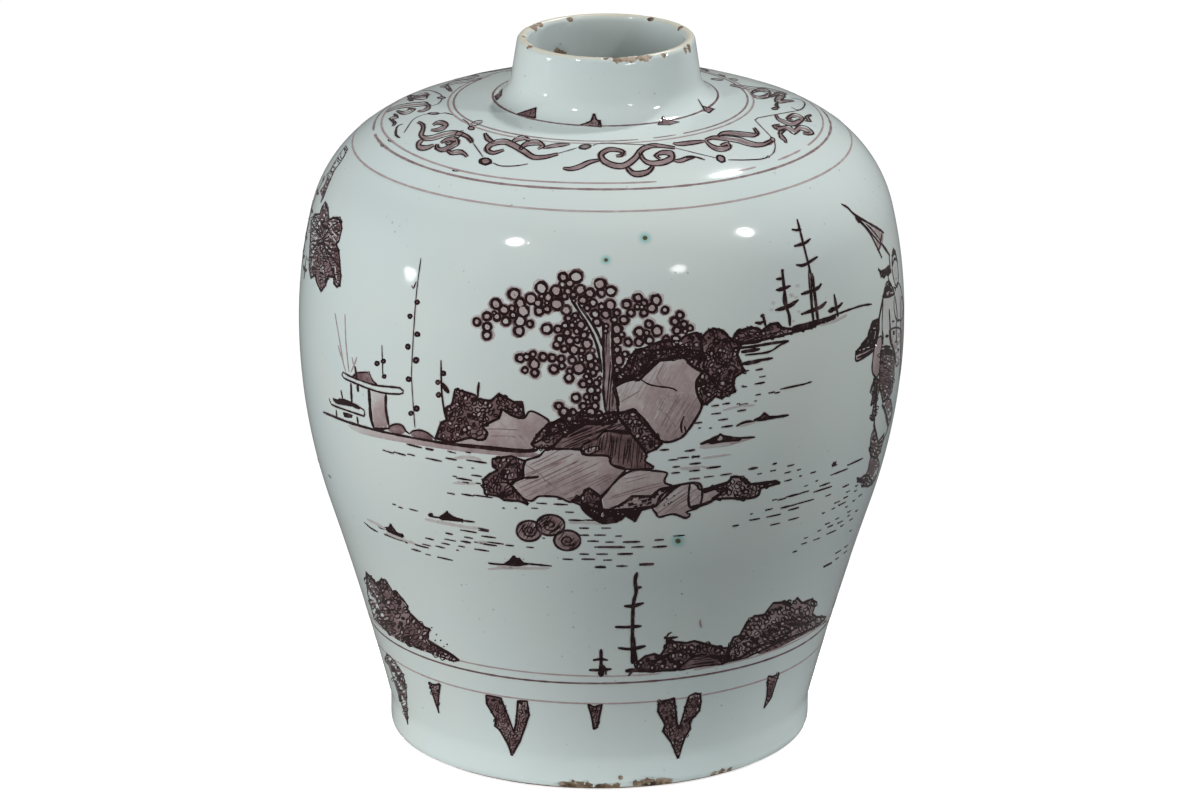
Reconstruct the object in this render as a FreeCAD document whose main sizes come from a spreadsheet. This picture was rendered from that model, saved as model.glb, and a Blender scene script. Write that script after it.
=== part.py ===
import FreeCAD, Part
import math
import os

import Sketcher

# A thrown earthenware vase of meiping form, tin glazed inside and out.
# The axis of the pot is Z, and the foot stands on Z = 0. Millimetres and degrees.
# A tuple holds the size and what it is.
driving = {
    "belly_radius": (105.0, "widest girth, over the glaze"),
    "belly_height": (149.3, "foot to the widest girth"),
    "dome_height": (78.2, "widest girth to the root of the neck"),
    "neck_height": (22.0, "root of the neck to the rim"),
    "foot_radius": (73.5, "foot band, over the glaze"),
    "foot_band": (12.0, "height of the upright band at the foot"),
    "foot_round": (4.0, "rounding of the worn outer edge under the foot"),
    "foot_ring": (13.5, "width of the foot ring, over the glaze"),
    "recess_depth": (4.0, "hollow under the base"),
    "bare_foot": (1.6, "height of the unglazed edge of the foot"),
    "belly_low_share": (0.65, "lower belly arc against one arc from foot to girth"),
    "flank_arc": (1070.0, "radius of the slightly hollow flank above the foot"),
    "belly_up_arc": (170.0, "radius of the wall just above the girth"),
    "shoulder_arc": (44.0, "radius of the turn of the shoulder"),
    "top_arc": (112.0, "radius of the flat top of the shoulder"),
    "shoulder_slope": (5.1, "fall of the shoulder top at the neck, in degrees"),
    "neck_fillet": (9.3, "radius of the sweep from shoulder to neck"),
    "neck_bore": (27.0, "inner radius of the neck, over the glaze"),
    "lip_width": (3.7, "thickness of the rounded rim"),
    "wall": (5.5, "wall, glaze to glaze"),
    "glaze": (0.5, "thickness of each glaze coat"),
    "floor_height": (11.5, "inside floor above the standing surface"),
    "floor_round": (14.0, "inner corner between floor and wall"),
    "foot_joint": (30.0, "height where the foot section is luted on"),
    "slip": (1.2, "thickness of the slip in a luted joint"),
    "neck_joint_share": (0.125, "place of the neck joint across the flat top of the shoulder"),
}

doc = FreeCAD.newDocument("vase")

sizes = doc.addObject("Spreadsheet::Sheet", "sizes")
for row, (alias, (size, note)) in enumerate(driving.items(), start=1):
    sizes.set(f"A{row}", note)
    sizes.set(f"B{row}", str(size))
    sizes.setAlias(f"B{row}", alias)
doc.recompute()

# Centres and directions of the arcs that make up the outline, worked out by a second sheet.
worked = doc.addObject("Spreadsheet::Sheet", "worked")
worked_rows = []


def work_out(alias, formula):
    row = len(worked_rows) + 1
    worked.set(f"A{row}", alias.replace("_", " "))
    worked.set(f"B{row}", "=" + formula)
    worked.setAlias(f"B{row}", alias)
    worked_rows.append(alias)


def work_out_touching(name, near, near_reach, far, far_reach):
    # The centre at near_reach from one centre and far_reach from another, on the outer side.
    work_out(f"{name}_span", f"sqrt(({far}_r - {near}_r)^2 + ({far}_z - {near}_z)^2)")
    work_out(f"{name}_along_r", f"({far}_r - {near}_r) / {name}_span")
    work_out(f"{name}_along_z", f"({far}_z - {near}_z) / {name}_span")
    work_out(
        f"{name}_run",
        f"(({near_reach})^2 - ({far_reach})^2 + {name}_span^2) / (2 * {name}_span)",
    )
    work_out(f"{name}_rise", f"sqrt(({near_reach})^2 - {name}_run^2)")
    work_out(f"{name}_r", f"{near}_r + {name}_run * {name}_along_r - {name}_rise * {name}_along_z")
    work_out(f"{name}_z", f"{near}_z + {name}_run * {name}_along_z + {name}_rise * {name}_along_r")


def work_out_direction(name, start, end, reach):
    work_out(f"{name}_r", f"({end}_r - {start}_r) / ({reach})")
    work_out(f"{name}_z", f"({end}_z - {start}_z) / ({reach})")


work_out("shoulder_level", "sizes.belly_height + sizes.dome_height")
work_out("rim_level", "shoulder_level + sizes.neck_height")

# Foot corner, where the upright band meets the flank.
work_out("corner_r", "sizes.foot_radius")
work_out("corner_z", "sizes.foot_band")
work_out("foot_inner", "sizes.foot_radius - sizes.foot_ring")

# Lower belly: upright at the girth, and touching the hollow flank that runs to the foot corner.
work_out("girth_step", "sizes.belly_radius - sizes.foot_radius")
work_out("girth_rise", "sizes.belly_height - sizes.foot_band")
work_out("low_arc", "sizes.belly_low_share * (girth_step^2 + girth_rise^2) / (2 * girth_step)")
work_out("low_r", "sizes.belly_radius - low_arc")
work_out("low_z", "sizes.belly_height")
work_out_touching("flank", "low", "low_arc + sizes.flank_arc", "corner", "sizes.flank_arc")
work_out_direction("low_end", "low", "flank", "low_arc + sizes.flank_arc")

# Upper belly, and the sweep into the neck.
work_out("up_r", "sizes.belly_radius - sizes.belly_up_arc")
work_out("up_z", "sizes.belly_height")
work_out("root_r", "sizes.neck_bore + sizes.wall + sizes.neck_fillet")
work_out("root_z", "shoulder_level + sizes.neck_fillet")
work_out("root_start_r", "sin(sizes.shoulder_slope)")
work_out("root_start_z", "cos(sizes.shoulder_slope)")

# Shoulder: a flat top arc that leaves the neck sweep, and a tight turn down to the belly.
work_out("top_r", "root_r - (sizes.top_arc + sizes.neck_fillet) * root_start_r")
work_out("top_z", "root_z - (sizes.top_arc + sizes.neck_fillet) * root_start_z")
work_out_touching(
    "turn",
    "up",
    "sizes.belly_up_arc - sizes.shoulder_arc",
    "top",
    "sizes.top_arc - sizes.shoulder_arc",
)
work_out_direction("turn_start", "up", "turn", "sizes.belly_up_arc - sizes.shoulder_arc")
work_out_direction("turn_end", "top", "turn", "sizes.top_arc - sizes.shoulder_arc")

# Rim, and the direction square to the tapering neck that touches both rim and sweep.
work_out("lip_arc", "sizes.lip_width / 2")
work_out("lip_r", "sizes.neck_bore + lip_arc")
work_out("lip_z", "rim_level - lip_arc")
work_out("neck_span", "sqrt((root_r - lip_r)^2 + (root_z - lip_z)^2)")
work_out("neck_lean", "(lip_arc + sizes.neck_fillet) / neck_span")
work_out("neck_turn", "sqrt(1 - neck_lean^2)")
work_out(
    "neck_face_r",
    "(neck_lean * (root_r - lip_r) - neck_turn * (root_z - lip_z)) / neck_span",
)
work_out(
    "neck_face_z",
    "(neck_lean * (root_z - lip_z) + neck_turn * (root_r - lip_r)) / neck_span",
)

# Inner corner between the floor and the wall.
work_out("bowl_z", "sizes.floor_height + sizes.floor_round")
work_out("bowl_reach", "sizes.flank_arc + sizes.wall + sizes.floor_round")
work_out("bowl_r", "flank_r - sqrt(bowl_reach^2 - (flank_z - bowl_z)^2)")
work_out_direction("bowl_end", "flank", "bowl", "bowl_reach")

# Luted joints.
work_out("foot_joint_top", "sizes.foot_joint + sizes.slip")
work_out("waist_joint_top", "sizes.belly_height + sizes.slip")
work_out("top_start_r", "top_r + sizes.top_arc * root_start_r")
work_out("top_end_r", "top_r + sizes.top_arc * turn_end_r")
work_out("neck_joint_r", "top_start_r + sizes.neck_joint_share * (top_end_r - top_start_r)")
work_out("shoulder_joint_r", "neck_joint_r + sizes.slip")

doc.recompute()
for name in worked_rows:
    if not math.isfinite(float(worked.get(name))):
        raise ValueError(f"{name} can't be worked out from these sizes")

# Depth of each surface below the outer face of the glaze.
glaze_face = "0"
clay_face = "sizes.glaze"
inner_clay_face = "(sizes.wall - sizes.glaze)"
inner_glaze_face = "sizes.wall"

# An outline runs anticlockwise round a section. Each corner holds its radius and height, and
# the arc to the next corner: its radius, and +1 where it turns left or -1 where it turns right.


def reach(arc, depth, hollow=False):
    # The radius of an arc at this depth, which grows with depth where the outer face is hollow.
    sign = "+" if hollow else "-"
    return f"({arc} {sign} {depth})"


def on_direction(centre, arc, direction, sign="+"):
    return (
        f"worked.{centre}_r {sign} {arc} * worked.{direction}_r",
        f"worked.{centre}_z {sign} {arc} * worked.{direction}_z",
    )


def on_flank(depth, level):
    arc = reach("sizes.flank_arc", depth, hollow=True)
    return (f"worked.flank_r - sqrt({arc}^2 - (worked.flank_z - {level})^2)", level)


def on_upper_belly(depth, level):
    arc = reach("sizes.belly_up_arc", depth)
    return (f"worked.up_r + sqrt({arc}^2 - ({level} - worked.up_z)^2)", level)


def on_shoulder_top(depth, radius):
    arc = reach("sizes.top_arc", depth)
    return (radius, f"worked.top_z + sqrt({arc}^2 - ({radius} - worked.top_r)^2)")


def lower_wall(depth, first):
    # From a point on the flank up to the girth.
    flank = reach("sizes.flank_arc", depth, hollow=True)
    low = reach("worked.low_arc", depth)
    return [
        (first, (flank, -1)),
        (on_direction("low", low, "low_end"), (low, 1)),
        ((f"sizes.belly_radius - {depth}", "sizes.belly_height"), None),
    ]


def upper_wall(depth, first, last):
    # From a point above the girth, round the shoulder, to a point on its flat top.
    up = reach("sizes.belly_up_arc", depth)
    turn = reach("sizes.shoulder_arc", depth)
    top = reach("sizes.top_arc", depth)
    return [
        (first, (up, 1)),
        (on_direction("up", up, "turn_start"), (turn, 1)),
        (on_direction("top", top, "turn_end"), (top, 1)),
        (last, None),
    ]


def neck_outside(depth, first):
    top = reach("sizes.top_arc", depth)
    sweep = reach("sizes.neck_fillet", depth, hollow=True)
    lip = reach("worked.lip_arc", depth)
    return [
        (first, (top, 1)),
        (on_direction("root", sweep, "root_start", "-"), (sweep, -1)),
        (on_direction("root", sweep, "neck_face", "-"), None),
        (on_direction("lip", lip, "neck_face"), (lip, 1)),
        (("worked.lip_r", f"worked.rim_level - {depth}"), None),
    ]


def neck_inside(depth, coat, first):
    # coat is how deep the bore wall lies behind the glazed face of the bore.
    top = reach("sizes.top_arc", depth)
    sweep = reach("sizes.neck_fillet", depth, hollow=True)
    lip = reach("worked.lip_arc", coat)
    return [
        (first, (top, 1)),
        (on_direction("root", sweep, "root_start", "-"), (sweep, -1)),
        ((f"sizes.neck_bore + {coat}", "worked.root_z"), None),
        ((f"sizes.neck_bore + {coat}", "worked.lip_z"), (lip, -1)),
        (("worked.lip_r", f"worked.rim_level - {coat}"), None),
    ]


def foot_outside():
    # Bare clay from the edge of the standing ring to the foot of the upright band.
    return [
        (("sizes.foot_radius - sizes.glaze - sizes.foot_round", "0"), ("sizes.foot_round", 1)),
        (("sizes.foot_radius - sizes.glaze", "sizes.foot_round"), None),
    ]


def glaze_edge(depth):
    # The glaze stops on the rounded edge of the foot, a little above the standing surface.
    arc = f"(sizes.foot_round + sizes.glaze - {depth})"
    centre = "(sizes.foot_radius - sizes.glaze - sizes.foot_round)"
    drop = "(sizes.foot_round - sizes.bare_foot)"
    return [
        ((f"{centre} + sqrt({arc}^2 - {drop}^2)", "sizes.bare_foot"), (arc, 1)),
        ((f"sizes.foot_radius - {depth}", "sizes.foot_round"), None),
    ]


def bowl_corner(depth, coat):
    # From the axis out along the floor and round its corner to the wall.
    flank = reach("sizes.flank_arc", depth, hollow=True)
    return [
        (("0", f"sizes.floor_height - {coat}"), None),
        (("worked.bowl_r", f"sizes.floor_height - {coat}"), (f"(sizes.floor_round + {coat})", 1)),
        (on_direction("flank", flank, "bowl_end"), None),
    ]


def joined(*runs):
    # One run after another. Where one ends on the point where the next starts, it is one corner.
    corners = []
    for run in runs:
        if corners and corners[-1][0] == run[0][0]:
            corners.pop()
        corners.extend(run)
    return corners


def going_down(run):
    corners = []
    for index in range(len(run) - 1, -1, -1):
        arc = run[index - 1][1] if index else None
        corners.append((run[index][0], (arc[0], -arc[1]) if arc else None))
    return corners


def measure(expression):
    found = sizes.evalExpression(expression)
    return float(getattr(found, "Value", found))


def arc_between(start, end, radius, turn):
    # The shorter arc of this radius that turns left or right from start to end.
    middle = (start + end) * 0.5
    chord = end - start
    off = math.sqrt(radius**2 - (chord.Length * 0.5) ** 2)
    left = FreeCAD.Vector(-chord.y, chord.x, 0).normalize()
    centre = middle + left * off * turn
    first, last = (start, end) if turn > 0 else (end, start)
    circle = Part.Circle(centre, FreeCAD.Vector(0, 0, 1), radius)
    first_angle = math.atan2(first.y - centre.y, first.x - centre.x)
    last_angle = math.atan2(last.y - centre.y, last.x - centre.x)
    return Part.ArcOfCircle(circle, first_angle, last_angle)


def bind(sketch, constraint, name, expression):
    index = sketch.addConstraint(constraint)
    sketch.renameConstraint(index, name)
    sketch.setExpression(f"Constraints.{name}", expression)


def draw(sketch, corners):
    points = [FreeCAD.Vector(measure(r), measure(z), 0) for (r, z), _ in corners]
    starts, ends = [], []
    for index, (_, arc) in enumerate(corners):
        start, end = points[index], points[(index + 1) % len(points)]
        if arc:
            radius = measure(arc[0])
            edge = sketch.addGeometry(arc_between(start, end, radius, arc[1]))
            starts.append((edge, 1 if arc[1] > 0 else 2))
            ends.append((edge, 2 if arc[1] > 0 else 1))
        else:
            edge = sketch.addGeometry(Part.LineSegment(start, end))
            starts.append((edge, 1))
            ends.append((edge, 2))
    for index, ((r, z), arc) in enumerate(corners):
        edge, place = starts[index]
        before, before_place = ends[index - 1]
        sketch.addConstraint(Sketcher.Constraint("Coincident", before, before_place, edge, place))
        if r == "0":
            sketch.addConstraint(Sketcher.Constraint("PointOnObject", edge, place, -2))
        else:
            out = Sketcher.Constraint("DistanceX", -1, 1, edge, place, points[index].x)
            bind(sketch, out, f"out{index}", r)
        if z == "0":
            sketch.addConstraint(Sketcher.Constraint("PointOnObject", edge, place, -1))
        else:
            up = Sketcher.Constraint("DistanceY", -1, 1, edge, place, points[index].y)
            bind(sketch, up, f"up{index}", z)
        if arc:
            bend = Sketcher.Constraint("Radius", edge, measure(arc[0]))
            bind(sketch, bend, f"bend{index}", arc[0])


def turned(label, corners):
    # A piece of the pot, turned from its half section about the axis.
    body = doc.addObject("PartDesign::Body", label)
    body.Label = label
    plane = next(item for item in body.Origin.OriginFeatures if item.Role == "XZ_Plane")
    sketch = body.newObject("Sketcher::SketchObject", f"{label}_section")
    sketch.AttachmentSupport = [(plane, "")]
    sketch.MapMode = "FlatFace"
    draw(sketch, corners)
    revolution = body.newObject("PartDesign::Revolution", f"{label}_turned")
    revolution.Profile = sketch
    revolution.ReferenceAxis = (sketch, ["V_Axis"])
    revolution.Angle = 360
    body.Tip = revolution
    doc.recompute()
    return body


def foot_and_floor():
    outside = on_flank(clay_face, "sizes.foot_joint")
    inside = on_flank(inner_clay_face, "sizes.foot_joint")
    flank = reach("sizes.flank_arc", clay_face, hollow=True)
    inner_flank = reach("sizes.flank_arc", inner_clay_face, hollow=True)
    floor = bowl_corner(inner_clay_face, "sizes.glaze")
    foot = foot_outside()
    corner = on_flank(clay_face, "sizes.foot_band")
    under = [
        (("0", "sizes.recess_depth"), None),
        (("worked.foot_inner", "sizes.recess_depth"), None),
        (("worked.foot_inner", "0"), None),
    ]
    rise = [(corner, (flank, -1)), (outside, None)]
    fall = [(inside, (inner_flank, 1)), (floor[-1][0], None)]
    return turned("foot_and_floor", joined(under, foot, rise, fall, going_down(floor)))


def lower_body():
    first = "worked.foot_joint_top"
    outside = lower_wall(clay_face, on_flank(clay_face, first))
    inside = lower_wall(inner_clay_face, on_flank(inner_clay_face, first))
    return turned("lower_body", joined(outside, going_down(inside)))


def upper_body():
    first, last = "worked.waist_joint_top", "worked.shoulder_joint_r"
    walls = []
    for depth in (clay_face, inner_clay_face):
        walls.append(upper_wall(depth, on_upper_belly(depth, first), on_shoulder_top(depth, last)))
    return turned("upper_body", joined(walls[0], going_down(walls[1])))


def neck():
    seat = "worked.neck_joint_r"
    outside = neck_outside(clay_face, on_shoulder_top(clay_face, seat))
    inside = neck_inside(inner_clay_face, "sizes.glaze", on_shoulder_top(inner_clay_face, seat))
    return turned("neck", joined(outside, going_down(inside)))


def slip_ring(label, point, arc, low, high, hollow=False):
    # The slip between two luted sections, with their curves on its outer and inner faces.
    sides = []
    for depth in (clay_face, inner_clay_face):
        bend = (reach(arc, depth, hollow), -1 if hollow else 1)
        sides.append([(point(depth, low), bend), (point(depth, high), None)])
    return turned(label, joined(sides[0], going_down(sides[1])))


def foot_slip():
    low, high = "sizes.foot_joint", "worked.foot_joint_top"
    return slip_ring("foot_slip", on_flank, "sizes.flank_arc", low, high, hollow=True)


def waist_slip():
    low, high = "sizes.belly_height", "worked.waist_joint_top"
    return slip_ring("waist_slip", on_upper_belly, "sizes.belly_up_arc", low, high)


def neck_slip():
    low, high = "worked.shoulder_joint_r", "worked.neck_joint_r"
    return slip_ring("neck_slip", on_shoulder_top, "sizes.top_arc", low, high)


def coat_on_wall(depth, first):
    # Foot to neck joint, with a corner wherever the clay below changes from one piece to the next.
    flank = reach("sizes.flank_arc", depth, hollow=True)
    up = reach("sizes.belly_up_arc", depth)
    top = reach("sizes.top_arc", depth)
    waist = (f"sizes.belly_radius - {depth}", "sizes.belly_height")
    waist_top = on_upper_belly(depth, "worked.waist_joint_top")
    shoulder_end = on_shoulder_top(depth, "worked.shoulder_joint_r")
    return joined(
        [(first, (flank, -1)), (on_flank(depth, "sizes.foot_joint"), (flank, -1))],
        lower_wall(depth, on_flank(depth, "worked.foot_joint_top")),
        [(waist, (up, 1))],
        upper_wall(depth, waist_top, shoulder_end),
        [(shoulder_end, (top, 1)), (on_shoulder_top(depth, "worked.neck_joint_r"), None)],
    )


def outer_glaze():
    sides = []
    for depth in (glaze_face, clay_face):
        wall = coat_on_wall(depth, on_flank(depth, "sizes.foot_band"))
        sides.append(joined(glaze_edge(depth), wall, neck_outside(depth, wall[-1][0])))
    return turned("outer_glaze", joined(sides[0], going_down(sides[1])))


def inner_glaze():
    sides = []
    for depth, coat in ((inner_clay_face, "sizes.glaze"), (inner_glaze_face, "0")):
        floor = bowl_corner(depth, coat)
        wall = coat_on_wall(depth, floor[-1][0])
        sides.append(joined(floor, wall, neck_inside(depth, coat, wall[-1][0])))
    return turned("inner_glaze", joined(sides[0], going_down(sides[1])))


def base_glaze():
    low = "sizes.recess_depth - sizes.glaze"
    corners = [
        (("0", low), None),
        (("worked.foot_inner", low), None),
        (("worked.foot_inner", "sizes.recess_depth"), None),
        (("0", "sizes.recess_depth"), None),
    ]
    return turned("base_glaze", corners)


pieces = [
    foot_and_floor(),
    foot_slip(),
    lower_body(),
    waist_slip(),
    upper_body(),
    neck_slip(),
    neck(),
    outer_glaze(),
    inner_glaze(),
    base_glaze(),
]

doc.recompute()
for item in doc.Objects:
    if "Invalid" in item.State or "Error" in item.State:
        raise RuntimeError(f"{item.Label} failed: {item.State}")
for piece in pieces:
    if piece.Shape.isNull() or not piece.Shape.isValid() or len(piece.Shape.Solids) != 1:
        raise RuntimeError(f"{piece.Label} is not one valid solid")

os.makedirs("parts", exist_ok=True)
for piece in pieces:
    piece.Shape.exportStep(f"parts/{piece.Label}.step")
    box = piece.Shape.optimalBoundingBox(False, False)
    print(
        f"{piece.Label}: {piece.Shape.Volume / 1000:.2f} cm3,",
        f"radius {box.XMax:.2f}, z {box.ZMin:.2f} to {box.ZMax:.2f}",
    )
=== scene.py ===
import bpy
import math
import random
from mathutils import Matrix, Vector, geometry, noise


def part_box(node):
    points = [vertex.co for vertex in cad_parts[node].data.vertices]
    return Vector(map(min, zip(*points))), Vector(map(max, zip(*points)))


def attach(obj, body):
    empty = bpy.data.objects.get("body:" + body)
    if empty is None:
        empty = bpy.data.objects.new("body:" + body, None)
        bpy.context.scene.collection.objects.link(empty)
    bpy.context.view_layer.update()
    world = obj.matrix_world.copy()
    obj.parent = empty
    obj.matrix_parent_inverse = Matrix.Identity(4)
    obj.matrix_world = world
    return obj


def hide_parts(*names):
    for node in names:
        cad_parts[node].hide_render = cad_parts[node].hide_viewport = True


# Tin glazed vase with purple painting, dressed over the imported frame.
# Shapes are worked out in mm and turned into metres where a mesh is made.

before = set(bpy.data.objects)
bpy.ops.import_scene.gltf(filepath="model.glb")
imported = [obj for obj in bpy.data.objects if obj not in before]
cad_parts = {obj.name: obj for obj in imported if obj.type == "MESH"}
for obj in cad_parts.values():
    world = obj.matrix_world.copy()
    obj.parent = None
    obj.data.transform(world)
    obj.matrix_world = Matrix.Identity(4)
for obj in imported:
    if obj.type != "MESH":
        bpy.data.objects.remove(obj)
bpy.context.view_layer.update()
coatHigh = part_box("outer_glaze")[1]
mm = 0.001
print("frame loaded:", len(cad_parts), "nodes")

# The outline of the pot, arcs as thrown; height and girth come from the frame
potShape = {
    "girth": coatHigh.x / mm,
    "rim": coatHigh.z / mm,
    "girthHeight": 149.3,
    "shoulderHeight": 227.5,  # level of the neck root
    "foot": 73.5,
    "footBand": 12.0,
    "footRound": 4.0,
    "bareFoot": 1.6,
    "footInner": 60.0,
    "recess": 4.0,
    "floor": 11.5,
    "floorRound": 14.0,
    "lowShare": 0.65,
    "flankArc": 1070.0,
    "upArc": 170.0,
    "turnArc": 44.0,
    "topArc": 112.0,
    "topSlope": 5.1,  # degrees
    "sweepArc": 9.3,
    "bore": 27.0,
    "lip": 3.7,
    "wall": 5.5,
    "glaze": 0.5,
    "footJoint": 30.0,
}
# How the wet clay settled: a slight lean, and a neck set a little to one side
potSettle = {"lean": 0.0071, "neckShift": 1.1, "neckFrom": 219.0, "neckTo": 230.0}
# Faces: steps round the pot, and mm between the points of its outline
potMesh = {
    "round": 224, "outside": 2.1, "inside": 3.2, "bowl": 2.5, "foot": 0.5, "band": 1.0,
    "root": 0.9, "innerRoot": 1.6, "neck": 1.2, "lip": 0.32,
}


def flat(r, z):
    return Vector((r, z))


def towards(start, end, reach):
    return start + (end - start).normalized() * reach


def touching(near, nearReach, far, farReach):
    # centre at nearReach from one centre and farReach from the other, on the outer side
    span = (far - near).length
    along = (far - near) / span
    run = (nearReach**2 - farReach**2 + span**2) / (2 * span)
    return near + along * run + flat(-along.y, along.x) * math.sqrt(nearReach**2 - run**2)


def arcFrom(centre, start, end, gap):
    # points along the shorter arc from start to just before end, about gap apart
    radius = (start - centre).length
    first = math.atan2(start.y - centre.y, start.x - centre.x)
    turn = math.atan2(end.y - centre.y, end.x - centre.x) - first
    turn = (turn + math.pi) % math.tau - math.pi
    count = max(2, math.ceil(abs(turn) * radius / gap))
    angles = [first + turn * step / count for step in range(count)]
    return [centre + flat(math.cos(angle), math.sin(angle)) * radius for angle in angles]


def potCentres(shape):
    # middles of the arcs, and the way that the neck's wall faces
    step = shape["girth"] - shape["foot"]
    rise = shape["girthHeight"] - shape["footBand"]
    lowArc = shape["lowShare"] * (step**2 + rise**2) / (2 * step)
    low = flat(shape["girth"] - lowArc, shape["girthHeight"])
    band = flat(shape["foot"], shape["footBand"])
    flank = touching(low, lowArc + shape["flankArc"], band, shape["flankArc"])
    up = flat(shape["girth"] - shape["upArc"], shape["girthHeight"])
    sweepReach = shape["bore"] + shape["wall"] + shape["sweepArc"]
    sweep = flat(sweepReach, shape["shoulderHeight"] + shape["sweepArc"])
    slope = math.radians(shape["topSlope"])
    top = sweep - flat(math.sin(slope), math.cos(slope)) * (shape["topArc"] + shape["sweepArc"])
    turn = touching(up, shape["upArc"] - shape["turnArc"], top, shape["topArc"] - shape["turnArc"])
    lip = flat(shape["bore"] + shape["lip"] / 2, shape["rim"] - shape["lip"] / 2)
    reach = sweep - lip
    lean = (shape["lip"] / 2 + shape["sweepArc"]) / reach.length
    face = reach.normalized() * lean + flat(-reach.y, reach.x).normalized() * math.sqrt(1 - lean**2)
    return {
        "low": low, "flank": flank, "up": up, "turn": turn, "top": top, "sweep": sweep, "lip": lip,
        "neckFace": face,
    }


potCentre = potCentres(potShape)


def onFlank(reach, level):
    # where an arc of this reach round the flank's middle meets the level
    middle = potCentre["flank"]
    return flat(middle.x - math.sqrt(reach**2 - (middle.y - level) ** 2), level)


def wallOutline(depth, gap, foot=None):
    # foot or footBand up to the flat of the shoulder, this deep below the glaze face
    shape, centre = potShape, potCentre
    girth = flat(shape["girth"] - depth, shape["girthHeight"])
    lowEnd = towards(centre["low"], centre["flank"], shape["girth"] - depth - centre["low"].x)
    upEnd = towards(centre["up"], centre["turn"], shape["upArc"] - depth)
    topEnd = towards(centre["top"], centre["turn"], shape["topArc"] - depth)
    rootEnd = towards(centre["sweep"], centre["top"], shape["sweepArc"] + depth)
    if foot is None:
        foot = onFlank(shape["flankArc"] + depth, shape["footBand"])
    points = arcFrom(centre["flank"], foot, lowEnd, gap)
    points += arcFrom(centre["low"], lowEnd, girth, gap)
    points += arcFrom(centre["up"], girth, upEnd, gap)
    points += arcFrom(centre["turn"], upEnd, topEnd, gap * 0.8)
    points += arcFrom(centre["top"], topEnd, rootEnd, gap)
    return points, rootEnd


def outerOutline(gap):
    shape, centre = potShape, potCentre
    bend = flat(shape["foot"] - shape["glaze"] - shape["footRound"], shape["footRound"])
    reach = shape["footRound"] + shape["glaze"]
    drop = shape["footRound"] - shape["bareFoot"]
    edge = bend + flat(math.sqrt(reach**2 - drop**2), -drop)
    points = arcFrom(bend, edge, bend + flat(reach, 0), potMesh["foot"])
    level = shape["footRound"]
    while level < shape["footBand"] - potMesh["band"] * 1.2:
        points.append(flat(shape["foot"], level))
        level += potMesh["band"]
    wall, rootEnd = wallOutline(0, gap)
    points += wall
    neckLow = centre["sweep"] - centre["neckFace"] * shape["sweepArc"]
    neckHigh = centre["lip"] + centre["neckFace"] * shape["lip"] / 2
    points += arcFrom(centre["sweep"], rootEnd, neckLow, potMesh["root"])
    count = round((neckHigh - neckLow).length / potMesh["neck"])
    points += [neckLow.lerp(neckHigh, step / count) for step in range(count)]
    crown = centre["lip"] + flat(0, shape["lip"] / 2)
    return points + arcFrom(centre["lip"], neckHigh, crown, potMesh["lip"]) + [crown]


def innerOutline(gap):
    # from the middle of the floor, up the inner wall and neck to the crown of the rim
    shape, centre = potShape, potCentre
    depth = shape["wall"]
    reach = shape["flankArc"] + depth + shape["floorRound"]
    bowl = onFlank(reach, shape["floor"] + shape["floorRound"])
    points = [flat(bowl.x * step / 8, shape["floor"]) for step in range(8)]
    bowlEnd = towards(centre["flank"], bowl, shape["flankArc"] + depth)
    points += arcFrom(bowl, flat(bowl.x, shape["floor"]), bowlEnd, potMesh["bowl"])
    wall, rootEnd = wallOutline(depth, gap, bowlEnd)
    points += wall
    boreFoot = flat(shape["bore"], centre["sweep"].y)
    points += arcFrom(centre["sweep"], rootEnd, boreFoot, potMesh["innerRoot"])
    boreTop = flat(shape["bore"], centre["lip"].y)
    points += [boreFoot.lerp(boreTop, step / 9) for step in range(9)]
    crown = centre["lip"] + flat(0, shape["lip"] / 2)
    return points + arcFrom(centre["lip"], boreTop, crown, potMesh["lip"]) + [crown]


def eased(low, high, value):
    share = min(max((value - low) / (high - low), 0), 1)
    return share * share * (3 - 2 * share)


def settled(point):
    # point in mm on a true pot, moved to where it lies on this one
    shift = potSettle["neckShift"] * eased(potSettle["neckFrom"], potSettle["neckTo"], point[2])
    return Vector((point[0] + potSettle["lean"] * point[2] + shift, point[1], point[2]))


def deselectAll():
    bpy.ops.object.select_all(action="DESELECT")


def takeUp(piece):
    # the only piece that the next operators work on
    deselectAll()
    piece.select_set(True)
    bpy.context.view_layer.objects.active = piece


def startEdit():
    bpy.ops.object.mode_set(mode="EDIT")
    bpy.ops.mesh.select_all(action="SELECT")


def endEdit():
    bpy.ops.object.mode_set(mode="OBJECT")


def placed(name, data):
    obj = bpy.data.objects.new(name, data)
    bpy.context.collection.objects.link(obj)
    return obj


def spunPiece(name, outline, steps, inward=False):
    # one vertex, extruded along the outline and spun round the axis
    deselectAll()
    bpy.ops.mesh.primitive_plane_add(size=mm, location=(0, 0, 0))
    piece = bpy.context.object
    piece.name = piece.data.name = name
    startEdit()
    bpy.ops.mesh.merge(type="CENTER")
    bpy.ops.transform.translate(value=(outline[0].x * mm, 0, outline[0].y * mm))
    for before, after in zip(outline, outline[1:]):
        move = ((after.x - before.x) * mm, 0, (after.y - before.y) * mm)
        bpy.ops.mesh.extrude_vertices_move(TRANSFORM_OT_translate={"value": move})
    bpy.ops.mesh.select_all(action="SELECT")
    bpy.ops.mesh.spin(steps=steps, angle=math.tau, center=(0, 0, 0), axis=(0, 0, 1))
    bpy.ops.mesh.select_all(action="SELECT")
    bpy.ops.mesh.remove_doubles(threshold=mm * 0.01)
    bpy.ops.mesh.normals_make_consistent(inside=False)
    endEdit()
    widest = max(piece.data.polygons, key=lambda face: face.center.xy.length)
    if (widest.normal.xy.dot(widest.center.xy) > 0) == inward:
        startEdit()
        bpy.ops.mesh.flip_normals()
        endEdit()
    for vertex in piece.data.vertices:
        vertex.co = settled(vertex.co / mm) * mm
    return piece


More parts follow.
